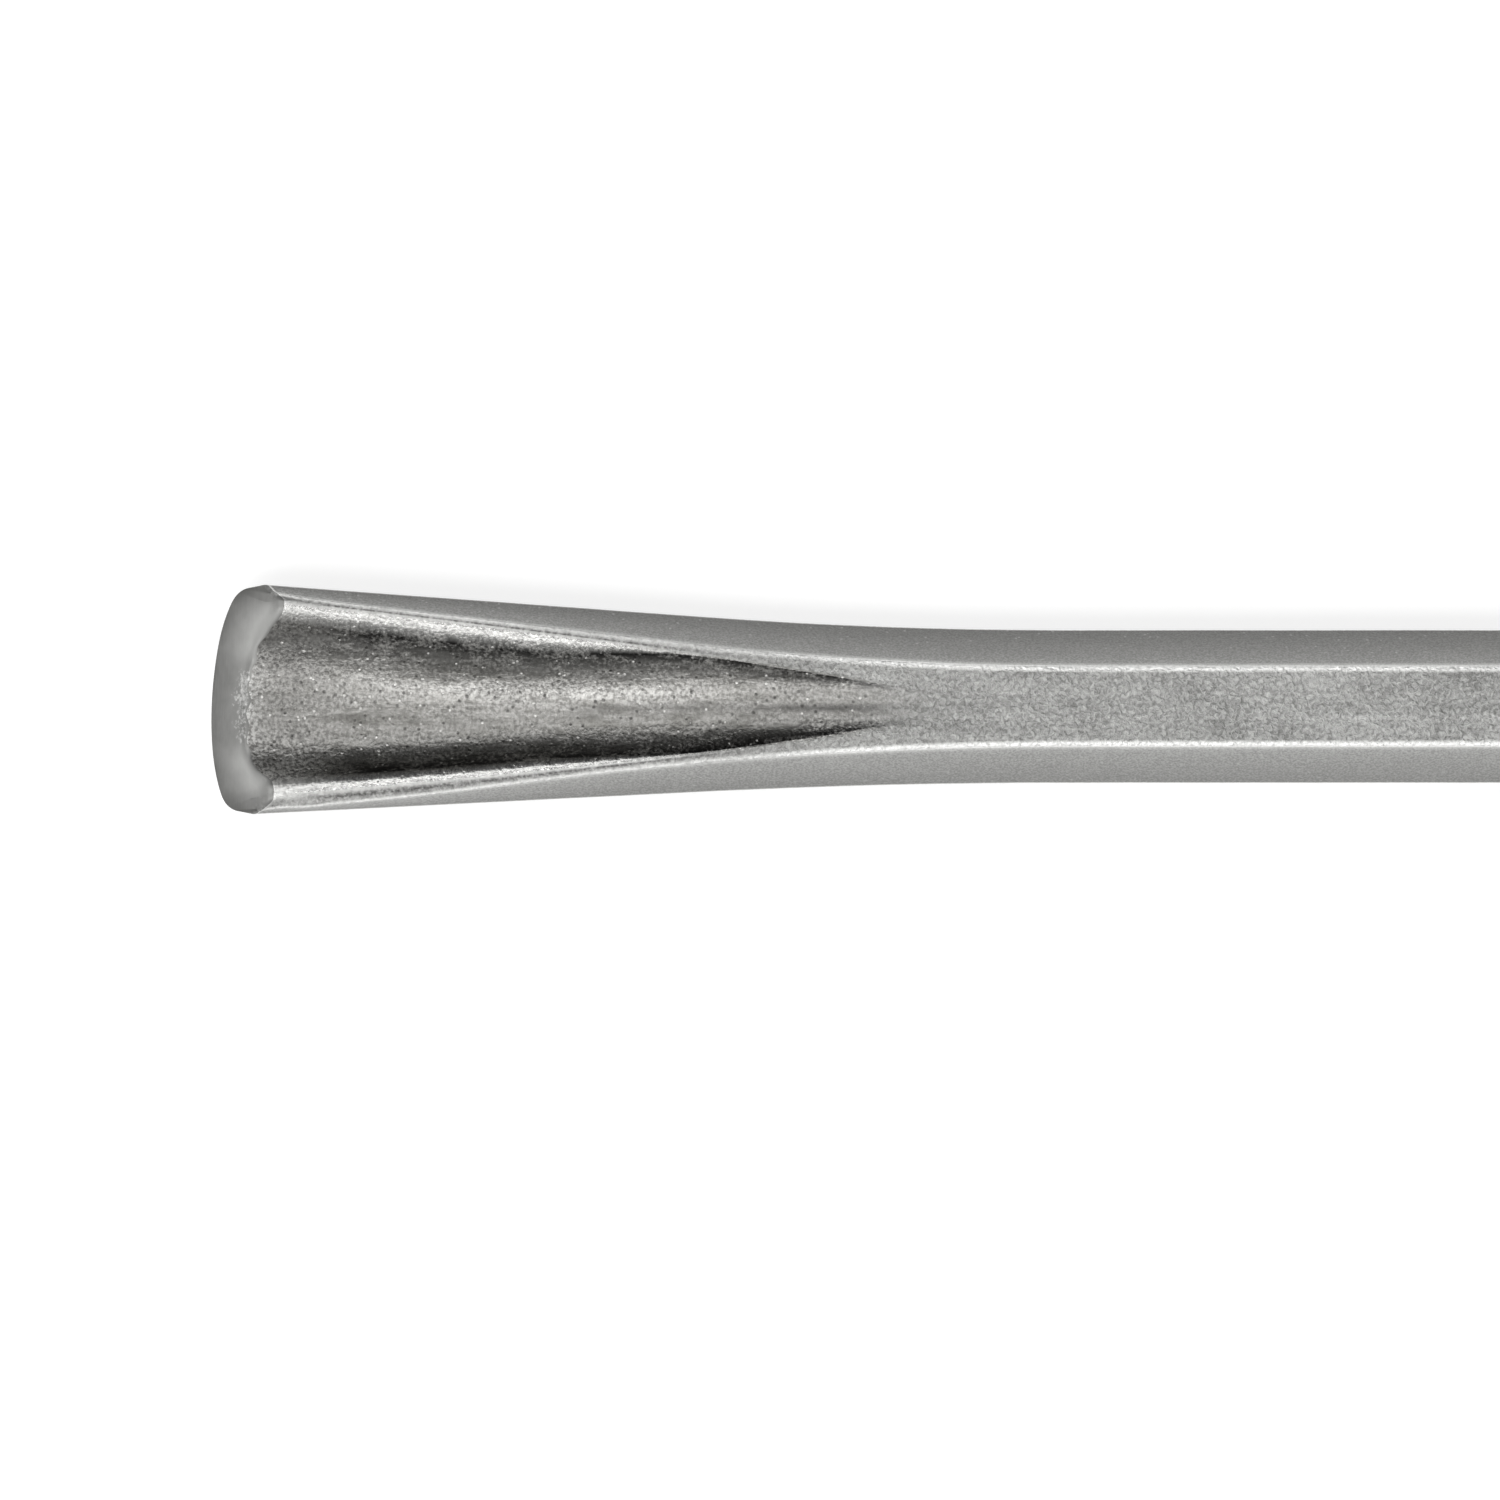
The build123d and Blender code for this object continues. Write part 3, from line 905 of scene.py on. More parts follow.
# %% [markdown]
# The ground end is painted brighter towards the channel than towards the cutting edge, and most
# of all below the rims: painted light. Where it meets the channel's floor, grinding leaves a ragged
# fringe about a millimetre wide, painted bright as a glint. Both fade on the end face from row to
# row, and behind it with the distance.

# %% Map the ground end
FRINGE_WIDTH = 1.0
DIM_MIDDLE, MIDDLE_TO_RIM, RIM_TO_CUTTING = 0.5, (7, 16), (20, 46)
FRINGE_ENDS = (6, 18)


def slope_light(column):
    dim = between(DIM_MIDDLE, 1.0, soft_step(column, *MIDDLE_TO_RIM))
    return dim * (1 - soft_step(column, *RIM_TO_CUTTING))


def fringe_part(column):
    return 1 - soft_step(column, *FRINGE_ENDS)


behind = np.exp(-np.maximum(reach_of - start, 0) / FRINGE_WIDTH)
beside = np.abs(np.arange(-HALF + 1, HALF))
nearness = 1 - np.arange(1, END_ROWS) / END_ROWS
# Painted light on the ground end, and a painted glint along its edge to the channel.
for name, weight in (("painted_bevel_light", slope_light), ("painted_glint", fringe_part)):
    keep_map(name, behind * weight(from_top), np.outer(weight(beside), nearness))

# %% [markdown]
# Four marks in the channel: a painted highlight beside the middle, which bends outward at the tip,
# a dark line down the middle where the channel runs out, a darker patch across the floor behind
# the ground end, and painted light beside it on the -Y wall, which is rougher there too.

# %% Map the marks in the channel
HIGHLIGHT_OFF, HIGHLIGHT_HALF, HIGHLIGHT_STARTS, HIGHLIGHT_ENDS = 1.3, 0.9, (6, 26), (41, 55)
BEND_OFF, BEND_REACH, BEND_LENGTH = 2.0, 9.0, 8.0
MIDDLE_OFF, MIDDLE_HALF, MIDDLE_ENDS = -0.15, 0.4, (70, 80)
MIDDLE_FAINT, MIDDLE_STARTS, MIDDLE_MORE, MIDDLE_GROWS = 0.4, (30, 44), 0.6, (50, 58)
WALL_LIGHT, WALL_LIGHT_ENDS = 0.9, (7.5, 14.5)
DULL_MIDDLE, DULL_WIDENS, DULL_SIDES, DULL_ENDS = 0.55, (2, 12), (19, 27), (7, 15)
NEAR_DULL_LESS, NEAR_DULL_SIDES = 0.8, (8, 16)

# Painted highlight: a bright band along the floor, beside the middle.
floor_highlight_y = HIGHLIGHT_OFF + BEND_OFF * np.exp((BEND_REACH - reach_of) / BEND_LENGTH)
on_floor_highlight = np.exp(-(((y_of - floor_highlight_y) / HIGHLIGHT_HALF) ** 2)) * in_channel
on_floor_highlight = on_floor_highlight * soft_step(reach_of, *HIGHLIGHT_STARTS)
keep_map("floor_highlight", on_floor_highlight * (1 - soft_step(reach_of, *HIGHLIGHT_ENDS)))

on_middle = np.exp(-(((y_of - MIDDLE_OFF) / MIDDLE_HALF) ** 2)) * in_channel
darkness = MIDDLE_FAINT * soft_step(reach_of, *MIDDLE_STARTS)
darkness = darkness + MIDDLE_MORE * soft_step(reach_of, *MIDDLE_GROWS)
keep_map("middle", on_middle * darkness * (1 - soft_step(reach_of, *MIDDLE_ENDS)))

# Painted light on the -Y wall near the ground end.
near_wall = np.where(near_side, on_wall, 0.0)
keep_map("painted_wall_light", near_wall * between(WALL_LIGHT, 0.0, soft_step(reach_of, *WALL_LIGHT_ENDS)))

near_dull = 1 - NEAR_DULL_LESS * soft_step(from_top, *NEAR_DULL_SIDES)
dull = (1 - soft_step(from_top, *DULL_SIDES)) * np.where(near_side, near_dull, 1.0)
dull = dull * between(DULL_MIDDLE, 1.0, soft_step(from_top, *DULL_WIDENS))
keep_map("tip", dull * (1 - soft_step(reach_of, *DULL_ENDS)))

# %% [markdown]
# Forging leaves faint waves, and the fuller draws the steel into lengthwise streaks. They are
# real shape, a few hundredths of a millimetre deep. A bump in the material could only shade them,
# so the points themselves are moved a little along their normals, less and less towards the
# turned end. Faces that meet at more than the sharp angle keep a crisp edge between them.

# %% Make the surface uneven and hand the skin to the frame
WAVE_DEPTH, WAVE_LENGTH, WAVE_NARROWER = 0.02, 7.0, 1.6
STREAK_DEPTH, STREAK_LENGTH, STREAK_WIDTH = 0.012, 9.0, 1.1
STREAK_SHIFT = 5  # takes the streaks from another part of the noise than the waves
CALM_END = 8.0
SHARP_ANGLE = math.radians(32)

place, normal = np.empty(total * 3), np.empty(total * 3)
mesh.vertices.foreach_get("co", place)
mesh.vertex_normals.foreach_get("vector", normal)
place, normal = place.reshape(-1, 3) / MM, normal.reshape(-1, 3)
calm = np.clip((BAR_END_X - place[:, 0]) / CALM_END, 0, 1)
for at in np.flatnonzero(calm > 0):
    x, y, z = place[at]
    across = [v / WAVE_LENGTH * WAVE_NARROWER for v in (y, z)]
    wave = noise.noise(Vector((x / WAVE_LENGTH, *across)))
    way = Vector((x / STREAK_LENGTH, y / STREAK_WIDTH, STREAK_SHIFT + z / STREAK_LENGTH))
    depth = WAVE_DEPTH * wave + STREAK_DEPTH * noise.noise(way) * maps["pressed"][at]
    place[at] += normal[at] * depth * calm[at]
mesh.vertices.foreach_set("co", (place * MM).ravel())
for name, values in maps.items():
    mesh.attributes.new(name, "FLOAT", "POINT").data.foreach_set("value", values)
mesh.shade_smooth()
mesh.set_sharp_from_angle(angle=SHARP_ANGLE)
mesh.update()

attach(skin, "root")
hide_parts("chisel")
mesh.calc_loop_triangles()
print("triangles in the skin:", len(mesh.loop_triangles))

# %% [markdown]
# Steel is a metal: its look is the room that it mirrors, spread by its roughness. So Metallic is 1
# in all four finishes, the IOR stays as Blender sets it, and the roughness is matched to each kind
# of work. Scans of real steel could give the patterns. Noises are used, because they need no
# pictures and each has a real size: a scale of 1000 is one bump to a millimetre, as the
# coordinates are metres. Colours are given as sRGB hex values.

# %% Helpers for materials


def colour(code):
    """Linear RGBA from an sRGB hex value."""
    parts = [int(code[at:at + 2], 16) / 255 for at in (1, 3, 5)]
    return [p / 12.92 if p <= 0.04045 else ((p + 0.055) / 1.055) ** 2.4 for p in parts] + [1]


def per_mm(size):
    """Scale of a pattern whose features are this many millimetres long."""
    return 1 / (size * MM)


def connect(tree, target, links):
    """Gives a node's sockets a value, or joins another node's output to them."""
    for socket, value in links.items():
        if isinstance(value, bpy.types.NodeSocket):
            tree.links.new(value, target.inputs[socket])
        else:
            target.inputs[socket].default_value = value


def node(tree, kind, links=None, out=0, **settings):
    """Adds a node with its settings and links, and returns one of its outputs."""
    made = tree.nodes.new("ShaderNode" + kind)
    for name, value in settings.items():
        setattr(made, name, value)
    connect(tree, made, links or {})
    return made.outputs[out] if made.outputs else made


def finish_steel(tree, shade, roughness, height, strength, depth):
    """Gives a steel its colour, roughness and relief. depth is in millimetres."""
    links = {"Height": height, "Strength": strength, "Distance": depth * MM}
    connect(tree, tree.nodes["Principled BSDF"], {
        "Base Color": shade,
        "Metallic": 1.0,
        "Roughness": roughness,
        "Normal": node(tree, "Bump", links),
    })
    print("nodes in this steel:", len(tree.nodes))


print("linear value of a middle grey:", round(colour("#808080")[0], 3))

# %% [markdown]
# The head and the bar are forged and then shot-blasted, which gives a grey, matt, grained skin
# with bumps of about 0.4 mm. A real one also has finer grain, below the 0.1 mm that the picture
# shows, so the finest here is drawn at 0.22 mm. Where the fuller has pressed there are streaks
# drawn out along the tool, patches of thin scale, pits and bright specks. Stretching the
# coordinates before the noise gives the drawn-out ones, and round cells give the spots.

# %% Patterns of the forged steel
READ = ("pressed", "coarse", "edge", "rim", "wall", "flank", "painted_glint", "painted_land_shade", "floor_highlight",
        "middle", "tip", "painted_wall_light")
NOISES = {
    # pattern: size in mm, detail, stretch along the tool, swirl
    "grain": (0.4, 3.0, 1, 0.7),
    "fine": (0.22, 1.0, 1, 0.0),
    "speckle": (0.35, 4.0, 1, 0.0),
    "drawn": (0.6, 3.0, 10, 0.0),
    "blotch": (1.4, 3.0, 2, 0.0),
    "patch": (2.5, 3.0, 3, 0.0),
    "cloud": (6.0, 2.0, 2, 0.0),
}
NOISE_ROUGHNESS = 0.6
SPOTS = {
    # pattern: spacing in mm, and the shares of it where a spot starts to fade and has faded
    "pit": (0.9, 0.1, 0.22),
    "speck": (1.1, 0.08, 0.16),
}

tree = materials[FORGED].node_tree
place_out = node(tree, "TexCoord", out="Object")
patterns = {name: node(tree, "Attribute", out="Fac", attribute_name=name) for name in READ}
for name, (size, detail, stretch, swirl) in NOISES.items():
    where = node(tree, "Mapping", {"Vector": place_out, "Scale": (1 / stretch, 1, 1)})
    links = {"Vector": where, "Scale": per_mm(size), "Detail": detail}
    links |= {"Roughness": NOISE_ROUGHNESS, "Distortion": swirl}
    patterns[name] = node(tree, "TexNoise", links)
for name, (spacing, fades, faded) in SPOTS.items():
    cells = node(tree, "TexVoronoi", {"Vector": place_out, "Scale": per_mm(spacing)})
    links = {"Value": cells, "From Min": fades, "From Max": faded, "To Min": 1.0, "To Max": 0.0}
    patterns[name] = node(tree, "MapRange", links)
print("patterns and maps in the forged steel:", len(patterns))

# %% [markdown]
# No real surface shows one pattern alone, so some are added up in shares. Then a pattern's middle
# range, where nearly all its values lie, is spread over the values that it is needed for: how
# scaly the floor is, how ragged a worn edge is, or how rough and how deep the skin is.

# %% Mixtures and ranges of the patterns
MIXTURES = (
    # mixture, a pattern, its share, and what it is added to
    ("mottle", "cloud", 0.15, 0.0),
    ("mottle", "patch", 0.2, "mottle"),
    ("mottle", "grain", 0.65, "mottle"),
    ("scaly", "patch", 0.5, 0.0),
    ("smeared", "drawn", 0.5, "scaly"),
    ("scaly", "blotch", 0.5, "scaly"),
    ("crusted", "blotch", 0.5, 0.0),
    ("crusted", "speckle", 0.5, "crusted"),
)
RANGES = {
    # range: pattern or map, its low and high value, and what these become
    "lively": ("scaly", 0.4, 0.6, 0.4, 1.2),
    "grainy": ("fine", 0.35, 0.65, 0.0, 0.4),
    "off_top": ("flank", 0.0, 0.01, 0.0, 1.0),
    "frayed": ("speckle", 0.4, 0.6, 0.1, 0.8),
    "wear_and_sheen": ("speckle", 0.35, 0.6, 0.7, 1.1),
    "crumbly": ("speckle", 0.4, 0.6, 0.9, 0.2),
    "roughness": ("pressed", 0.0, 1.0, 0.48, 0.28),
    "rim_polish": ("pressed", 0.0, 1.0, -0.2, -0.09),
    "blast_left": ("pressed", 0.0, 1.0, 1.0, 0.3),
    "rim_relief": ("rim", 0.0, 1.0, 1.0, 0.7),
}
for name, pattern, share, rest in MIXTURES:
    links = {0: patterns[pattern], 1: share, 2: patterns.get(rest, rest)}
    patterns[name] = node(tree, "Math", links, operation="MULTIPLY_ADD")
for name, (pattern, *ends) in RANGES.items():
    links = dict(zip(("From Min", "From Max", "To Min", "To Max"), ends))
    patterns[name] = node(tree, "MapRange", {"Value": patterns[pattern], **links})
print("mixtures", len(MIXTURES), "ranges", len(RANGES))

# %% [markdown]
# Blasted steel is a light, neutral grey. The pressed steel is a little warmer from its thin scale,
# and nearly black on the walls, from dark scale and painted shade together. Bare metal at worn
# edges and rims is painted almost white, and this is painted highlight as well. The sides carry
# painted shade, and the channel's floor, the -Y wall near the tip and the ground end's edge carry
# painted light. Each tone runs between two greys by a pattern. Coats are then laid over each other
# in the order in which they lie on the tool, each where its map says.

# %% Colours of the forged steel
TONES = {
    # tone: pattern, its low and high value, and the colours there
    "steel": ("mottle", 0.38, 0.62, "#7f7f7d", "#bbbbb9"),
    # side: painted shade, from the top's grey down to darker towards the outline
    "side": ("flank", 0.0, 1.0, "#b8b8b6", "#7c7c7a"),
    "pressed": ("smeared", 0.4, 0.6, "#74736f", "#a6a5a2"),
    "scale": ("speckle", 0.38, 0.62, "#63625f", "#a9a8a5"),
    # floor_highlight: a painted highlight along the channel's floor
    "floor_highlight": ("speckle", 0.38, 0.62, "#8c8b88", "#dcdbd8"),
    # wall: dark scale and painted shade on the channel's walls
    "wall": ("crusted", 0.48, 0.64, "#050505", "#a3a29f"),
    "tip": ("speckle", 0.38, 0.62, "#4a4948", "#7c7b78"),
    # painted_wall_light: painted light on the -Y wall near the tip
    "painted_wall_light": ("speckle", 0.4, 0.6, "#757472", "#d0cfcc"),
}
COATS = (
    # tone that is covered, map or pattern, how much of it, and the coat's tone or colour
    ("side", "grainy", 1.0, "#545452"),
    ("side", "speck", 0.3, "#c8c8c6"),
    ("steel", "off_top", 1.0, "side"),
    ("pressed", "lively", 0.6, "scale"),
    # the painted highlight on the floor
    ("pressed", "floor_highlight", 0.5, "floor_highlight"),
    # the walls' painted shade and dark scale
    ("pressed", "wall", 0.95, "wall"),
    ("pressed", "tip", 0.55, "tip"),
    # the painted light on the -Y wall
    ("pressed", "painted_wall_light", 1.0, "painted_wall_light"),
    ("pressed", "middle", 0.8, "#4c4b4a"),
    ("pressed", "pit", 0.6, "#353433"),
    ("pressed", "speck", 0.7, "#dcdbd8"),
    ("steel", "pressed", 1.0, "pressed"),
    # painted_glint: a bright painted glint on the forged steel just behind the ground end's edge
    ("steel", "painted_glint", "frayed", "#d0d0ce"),
    # rim: polish and painted highlight on the rims
    ("steel", "rim", "wear_and_sheen", "#d4d4d2"),
    # edge: bare worn metal and painted highlight at the edges
    ("steel", "edge", "wear_and_sheen", "#f0f0ee"),
    # a dark line of painted shade along the land
    ("steel", "painted_land_shade", "crumbly", "#4c4b4a"),
)
tones = {}
for name, (pattern, low, high, dark, bright) in TONES.items():
    share = node(tree, "MapRange", {"Value": patterns[pattern], "From Min": low, "From Max": high})
    links = {"Factor": share, 6: colour(dark), 7: colour(bright)}
    tones[name] = node(tree, "Mix", links, out=2, data_type="RGBA")
for name, where, amount, coat in COATS:
    links = {0: patterns[where], 1: patterns.get(amount, amount)}
    share = node(tree, "Math", links, operation="MULTIPLY")
    paint = colour(coat) if coat.startswith("#") else tones[coat]
    links = {"Factor": share, 6: tones[name], 7: paint}
    tones[name] = node(tree, "Mix", links, out=2, data_type="RGBA")
print("tones", len(TONES), "coats", len(COATS))

# %% [markdown]
# The roughness starts at a typical value for blasted steel, is lower where the fuller has pressed
# the skin smooth, and lower still on rims and worn edges. The relief is a bump, because grain of
# a few hundredths of a millimetre would need millions of faces: coarse grain where the steel is
# only blasted, and streaks, pits and specks where it is pressed.

# %% Roughness and relief of the forged steel
RELIEF_STRENGTH, RELIEF_DEPTH = 0.8, 0.05
SUMS = (
    # result, and what it is: first times second plus third
    ("roughness", "patch", 0.08, "roughness"),
    ("roughness", "rim", "rim_polish", "roughness"),
    ("roughness", "edge", -0.14, "roughness"),
    ("roughness", "wall", -0.1, "roughness"),
    ("roughness", "painted_wall_light", 0.22, "roughness"),
    ("blast", "grain", 4.0, 0.0),
    ("blast", "blast", "coarse", "fine"),
    ("blast", "blast", "blast_left", 0.0),
    ("worked", "speckle", 2.2, 0.0),
    ("worked", "worked", "lively", 0.0),
    ("worked", "drawn", 0.5, "worked"),
    ("worked", "pit", -0.8, "worked"),
    ("worked", "speck", 0.8, "worked"),
    ("height", "worked", "pressed", "blast"),
    ("height", "height", "rim_relief", 0.0),
)
for name, *parts in SUMS:
    links = {at: patterns.get(part, part) for at, part in enumerate(parts)}
    patterns[name] = node(tree, "Math", links, operation="MULTIPLY_ADD")
roughness, height = patterns["roughness"], patterns["height"]
finish_steel(tree, tones["steel"], roughness, height, RELIEF_STRENGTH, RELIEF_DEPTH)

# %% [markdown]
# The end is ground on a belt, which leaves fine, even lines and a satin shine. Real lines are
# finer than the picture can show, so they are drawn a quarter of a millimetre wide. They run
# across the tool, which stretches their noise along Y. The end's colour is painted light, dark
# towards the cutting edge and bright towards the channel. Where a small burr would catch the light
# on the edge to the channel, a painted glint is added: a bright colour, let through only where a
# noise is high.

# %% Ground steel
LINE_SIZE, LINE_DETAIL, LINE_STRETCH = 0.25, 3.0, 0.06
SPECKLE_SIZE, SPECKLE_DETAIL, DULL_SIZE, DULL_DETAIL = 0.35, 4.0, 1.8, 2.0
GROUND_DARK, GROUND_BRIGHT, BURR_GLINT, EDGE_SHINE = "#565654", "#a6a6a4", "#dcdcda", "#c4c4c2"
DULL_IN_LIGHT, LIGHT_LOW, LIGHT_HIGH = 0.3, 0.1, 1.1
SPECKLE_IN_GLINT, DULL_IN_GLINT, GLINT_LOW, GLINT_HIGH, GLINT_MOST = 0.9, 0.5, 1.6, 1.86, 0.85
RAGGED = {"From Min": 0.4, "From Max": 0.6, "To Min": 0.1, "To Max": 0.6}
SPECKLE_IN_RELIEF = 0.5
GROUND_ROUGHNESS = {"To Min": 0.36, "To Max": 0.5}
GROUND_STRENGTH, GROUND_DEPTH = 0.5, 0.03

tree = materials[GROUND].node_tree
place_out = node(tree, "TexCoord", out="Object")
painted_bevel_light, painted_glint, edge = [node(tree, "Attribute", out="Fac", attribute_name=name)
                       for name in ("painted_bevel_light", "painted_glint", "edge")]
lines = node(tree, "Mapping", {"Vector": place_out, "Scale": (1, LINE_STRETCH, 1)})
links = {"Vector": lines, "Scale": per_mm(LINE_SIZE), "Detail": LINE_DETAIL}
lines = node(tree, "TexNoise", links)
speckle, dull = [node(tree, "TexNoise", {"Vector": place_out, "Scale": per_mm(size),
                                         "Detail": detail, "Roughness": NOISE_ROUGHNESS})
                 for size, detail in ((SPECKLE_SIZE, SPECKLE_DETAIL), (DULL_SIZE, DULL_DETAIL))]

# Painted light: the end runs from dark to bright by the painted bevel light map, mottled by a
# noise.
light = node(tree, "Math", {0: dull, 1: DULL_IN_LIGHT, 2: painted_bevel_light}, operation="MULTIPLY_ADD")
links = {"Value": light, "From Min": LIGHT_LOW, "From Max": LIGHT_HIGH}
light = node(tree, "MapRange", links)
links = {"Factor": light, 6: colour(GROUND_DARK), 7: colour(GROUND_BRIGHT)}
ground = node(tree, "Mix", links, out=2, data_type="RGBA")
# A painted glint along the edge to the channel, bright only where the noises are high.
glint = node(tree, "Math", {0: speckle, 1: SPECKLE_IN_GLINT, 2: painted_glint}, operation="MULTIPLY_ADD")
glint = node(tree, "Math", {0: dull, 1: DULL_IN_GLINT, 2: glint}, operation="MULTIPLY_ADD")
links = {"Value": glint, "From Min": GLINT_LOW, "From Max": GLINT_HIGH, "To Max": GLINT_MOST}
glint = node(tree, "MapRange", links)
links = {"Factor": glint, 6: ground, 7: colour(BURR_GLINT)}
ground = node(tree, "Mix", links, out=2, data_type="RGBA")
# The broken edge over land and sides is painted bright: wear and painted highlight.
ragged = node(tree, "MapRange", {"Value": speckle, **RAGGED})
shine = node(tree, "Math", {0: edge, 1: ragged}, operation="MULTIPLY")
links = {"Factor": shine, 6: ground, 7: colour(EDGE_SHINE)}
ground = node(tree, "Mix", links, out=2, data_type="RGBA")

links = {0: speckle, 1: SPECKLE_IN_RELIEF, 2: lines}
relief = node(tree, "Math", links, operation="MULTIPLY_ADD")
roughness = node(tree, "MapRange", {"Value": lines, **GROUND_ROUGHNESS})
finish_steel(tree, ground, roughness, relief, GROUND_STRENGTH, GROUND_DEPTH)

# %% [markdown]
# Turning leaves fine rings round the shank, and milling leaves smooth grooves with faint chatter
# across them. Both are bare, bright steel. The two differ only in numbers, so one loop makes
# them: a noise that is long across the tool and short along it, for roughness and bump alike.

# %% Turned and milled steel
WORKED = {
    # finish: colour, roughness, spacing of the tool marks in mm, stretch of the pattern
    TURNED: ("#b0b0ae", 0.32, 0.3, (1.0, 0.02, 0.02)),
    MILLED: ("#a6a6a4", 0.36, 0.5, (1.0, 0.3, 0.3)),
}
CLOUD_SIZE, CLOUD_DETAIL, CLOUD_RANGE, ROUGHNESS_RANGE = 0.35, 2.0, 0.1, 0.08
MARK_DETAIL, MARK_STRENGTH, MARK_DEPTH = 3.0, 0.25, 0.01

for finish, (code, middle, spacing, stretch) in WORKED.items():
    tree = materials[finish].node_tree
    place_out = node(tree, "TexCoord", out="Object")
    marks = node(tree, "Mapping", {"Vector": place_out, "Scale": stretch})
    links = {"Vector": marks, "Scale": per_mm(spacing), "Detail": MARK_DETAIL}
    marks = node(tree, "TexNoise", links)
    links = {"Vector": place_out, "Scale": per_mm(CLOUD_SIZE), "Detail": CLOUD_DETAIL}
    cloud = node(tree, "TexNoise", {**links, "Roughness": NOISE_ROUGHNESS})
    links = {"Value": cloud, "To Min": 1 - CLOUD_RANGE, "To Max": 1 + CLOUD_RANGE}
    links = {"Factor": 1.0, 6: colour(code), 7: node(tree, "MapRange", links)}
    shade = node(tree, "Mix", links, out=2, data_type="RGBA", blend_type="MULTIPLY")
    ends = {"To Min": middle - ROUGHNESS_RANGE, "To Max": middle + ROUGHNESS_RANGE}
    roughness = node(tree, "MapRange", {"Value": marks, **ends})
    finish_steel(tree, shade, roughness, marks, MARK_STRENGTH, MARK_DEPTH)

# %% [markdown]
# The chisel lies on a sheet of white paper. A white floor alone comes out grey, and a floor that
# only glows has no shadow. So its colour comes from both: from light that falls on it, which
# keeps the shadow, and from a glow that only the camera and mirroring surfaces see, which makes
# it read as white.

# %% Floor
FLOOR_SIZE = 3000.0
PAPER, PAPER_GLOW = "#cfcfcf", 0.6

floor_z = cad_low.z / MM
signs = ((-1, -1), (1, -1), (1, 1), (-1, 1))
corners = [(x * FLOOR_SIZE, y * FLOOR_SIZE, floor_z) for x, y in signs]
floor = mesh_object("floor", corners, [(0, 1, 2, 3)])
floor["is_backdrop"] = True
paper = bpy.data.materials.new("white_paper")
paper.use_nodes = True
tree = paper.node_tree
tree.nodes.clear()
rays = node(tree, "LightPath").node.outputs
links = {0: rays["Is Camera Ray"], 1: rays["Is Glossy Ray"]}
seen = node(tree, "Math", links, operation="ADD")
links = {0: seen, 1: rays["Is Transmission Ray"]}
seen = node(tree, "Math", links, operation="ADD", use_clamp=True)
glow = node(tree, "Math", {0: seen, 1: PAPER_GLOW}, operation="MULTIPLY")
light = node(tree, "Emission", {"Strength": glow})
matt = node(tree, "BsdfDiffuse", {"Color": colour(PAPER)})
node(tree, "OutputMaterial", {"Surface": node(tree, "AddShader", {0: matt, 1: light})})
floor.data.materials.clear()
floor.data.materials.append(paper)
print("floor at z", round(floor_z, 2), "mm")

# %% [markdown]
# Small lamps would give a metal hard, small highlights. So two long soft boxes hang along the
# tool, with a gap between them over the camera's axis. The front one gives the crisp streak on
# the far wall and rim, and the back one is a little wider and less bright. Between them and the
# horizon the studio is dark, which darkens the channel's walls, along with the shade painted on
# them. Only from the front and from the cutting edge's side does the room send some light of its
# own.

# %% Lamps and world
LAMP_DISTANCE, LAMP_LENGTH, LAMP_X = 1200.0, 2000.0, -75.0
SOFT_BOXES = {
    # lamp: turn about the tool's axis in degrees, width in mm, radiance
    "front_box": (-21, 480, 2.6),
    "back_box": (21, 520, 2.0),
}
ROOM_LIGHT, FRONT_LIGHT, TIP_LIGHT = 0.02, 0.55, 0.9

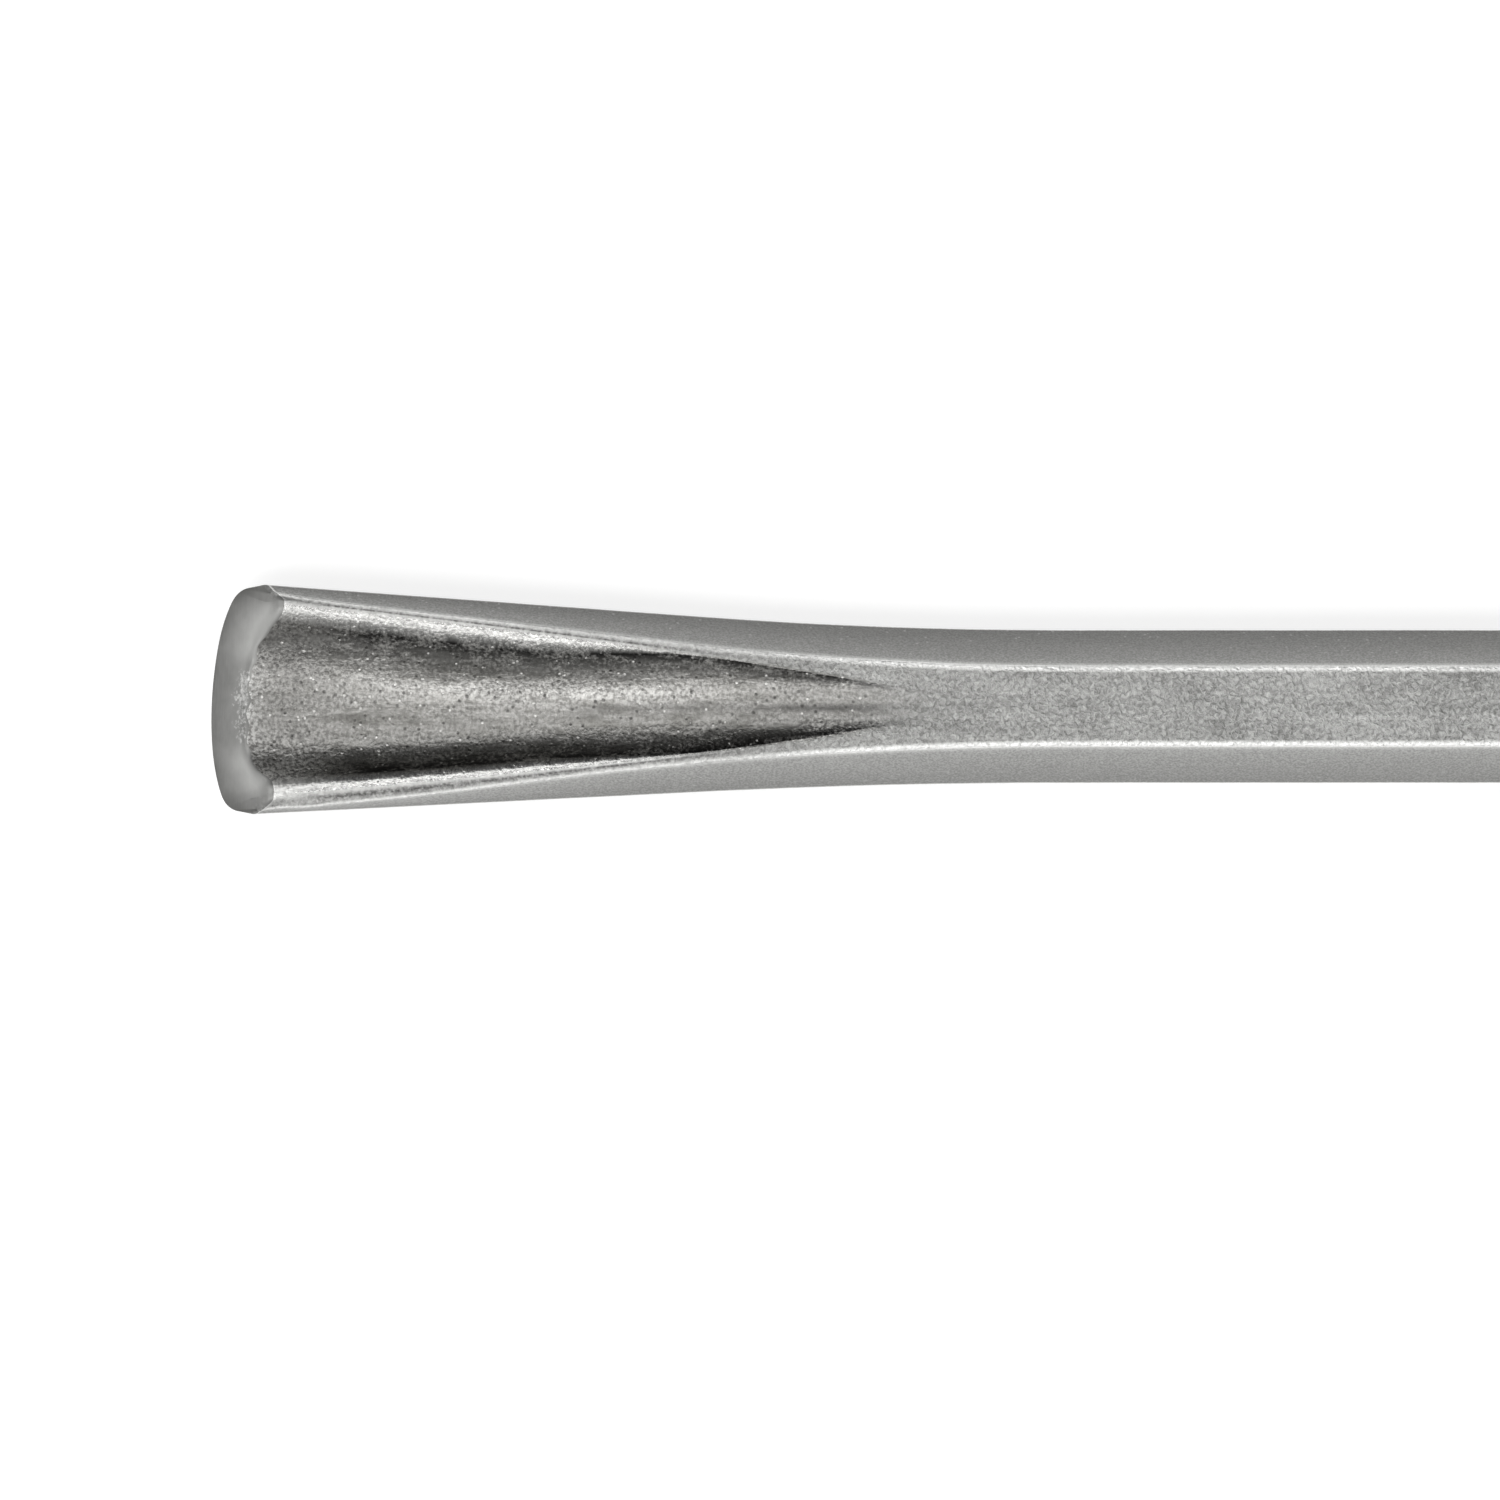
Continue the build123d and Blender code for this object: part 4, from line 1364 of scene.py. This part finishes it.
for name, (angle, width, radiance) in SOFT_BOXES.items():
    lamp = bpy.data.lights.new(name, "AREA")
    lamp.shape, lamp.size, lamp.size_y = "RECTANGLE", LAMP_LENGTH * MM, width * MM
    lamp.energy = radiance * math.pi * LAMP_LENGTH * width * MM * MM
    made = bpy.data.objects.new(name, lamp)
    bpy.context.scene.collection.objects.link(made)
    a = math.radians(angle)
    spot = (LAMP_X, LAMP_DISTANCE * math.sin(a), LAMP_DISTANCE * math.cos(a))
    made.location = [v * MM for v in spot]
    made.rotation_euler = (-a, 0, 0)
    print(name, "shines with", round(lamp.energy, 1), "W")

world = bpy.data.worlds.new("studio")
bpy.context.scene.world = world
world.use_nodes = True
tree = world.node_tree
way = node(tree, "SeparateXYZ", {0: node(tree, "TexCoord", out="Generated")}).node.outputs
glow = ROOM_LIGHT
for axis, strength in (("Y", FRONT_LIGHT), ("X", TIP_LIGHT)):
    facing = node(tree, "Math", {0: way[axis], 1: -1.0}, operation="MULTIPLY")
    facing = node(tree, "Math", {0: facing, 1: 0.0}, operation="MAXIMUM")
    glow = node(tree, "Math", {0: facing, 1: strength, 2: glow}, operation="MULTIPLY_ADD")
connect(tree, tree.nodes["Background"], {"Strength": glow, "Color": (1, 1, 1, 1)})

# %% [markdown]
# The camera looks straight down from far above with a long lens, which leaves next to no
# perspective, so that sizes can be read off the picture. A camera without any would do that too,
# but a real one has a lens. Its length follows from the width that the picture shows.

# %% Camera
MM_PER_PIXEL = 0.0962
FRAME_PIXELS = 1500
CAMERA_HEIGHT = 1500.0
FOCUS_HEIGHT = 3.0
SENSOR = 36.0
SEES_UP_TO = 10  # metres
PICTURE_MIDDLE = (-145.9, -4.2)

lens = bpy.data.cameras.new("camera")
lens.sensor_width = SENSOR
lens.lens = SENSOR * (CAMERA_HEIGHT - FOCUS_HEIGHT) / (FRAME_PIXELS * MM_PER_PIXEL)
lens.clip_end = SEES_UP_TO
camera = bpy.data.objects.new("camera", lens)
bpy.context.scene.collection.objects.link(camera)
camera.location = [v * MM for v in (*PICTURE_MIDDLE, CAMERA_HEIGHT)]
bpy.context.scene.camera = camera
bpy.context.scene.view_settings.view_transform = "Standard"
print("lens", round(lens.lens), "mm, frame", round(FRAME_PIXELS * MM_PER_PIXEL, 1), "mm wide")

# %% Measure and finish
low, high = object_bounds()
print("visual box in mm", [round(v / MM, 2) for v in (*low, *high)])
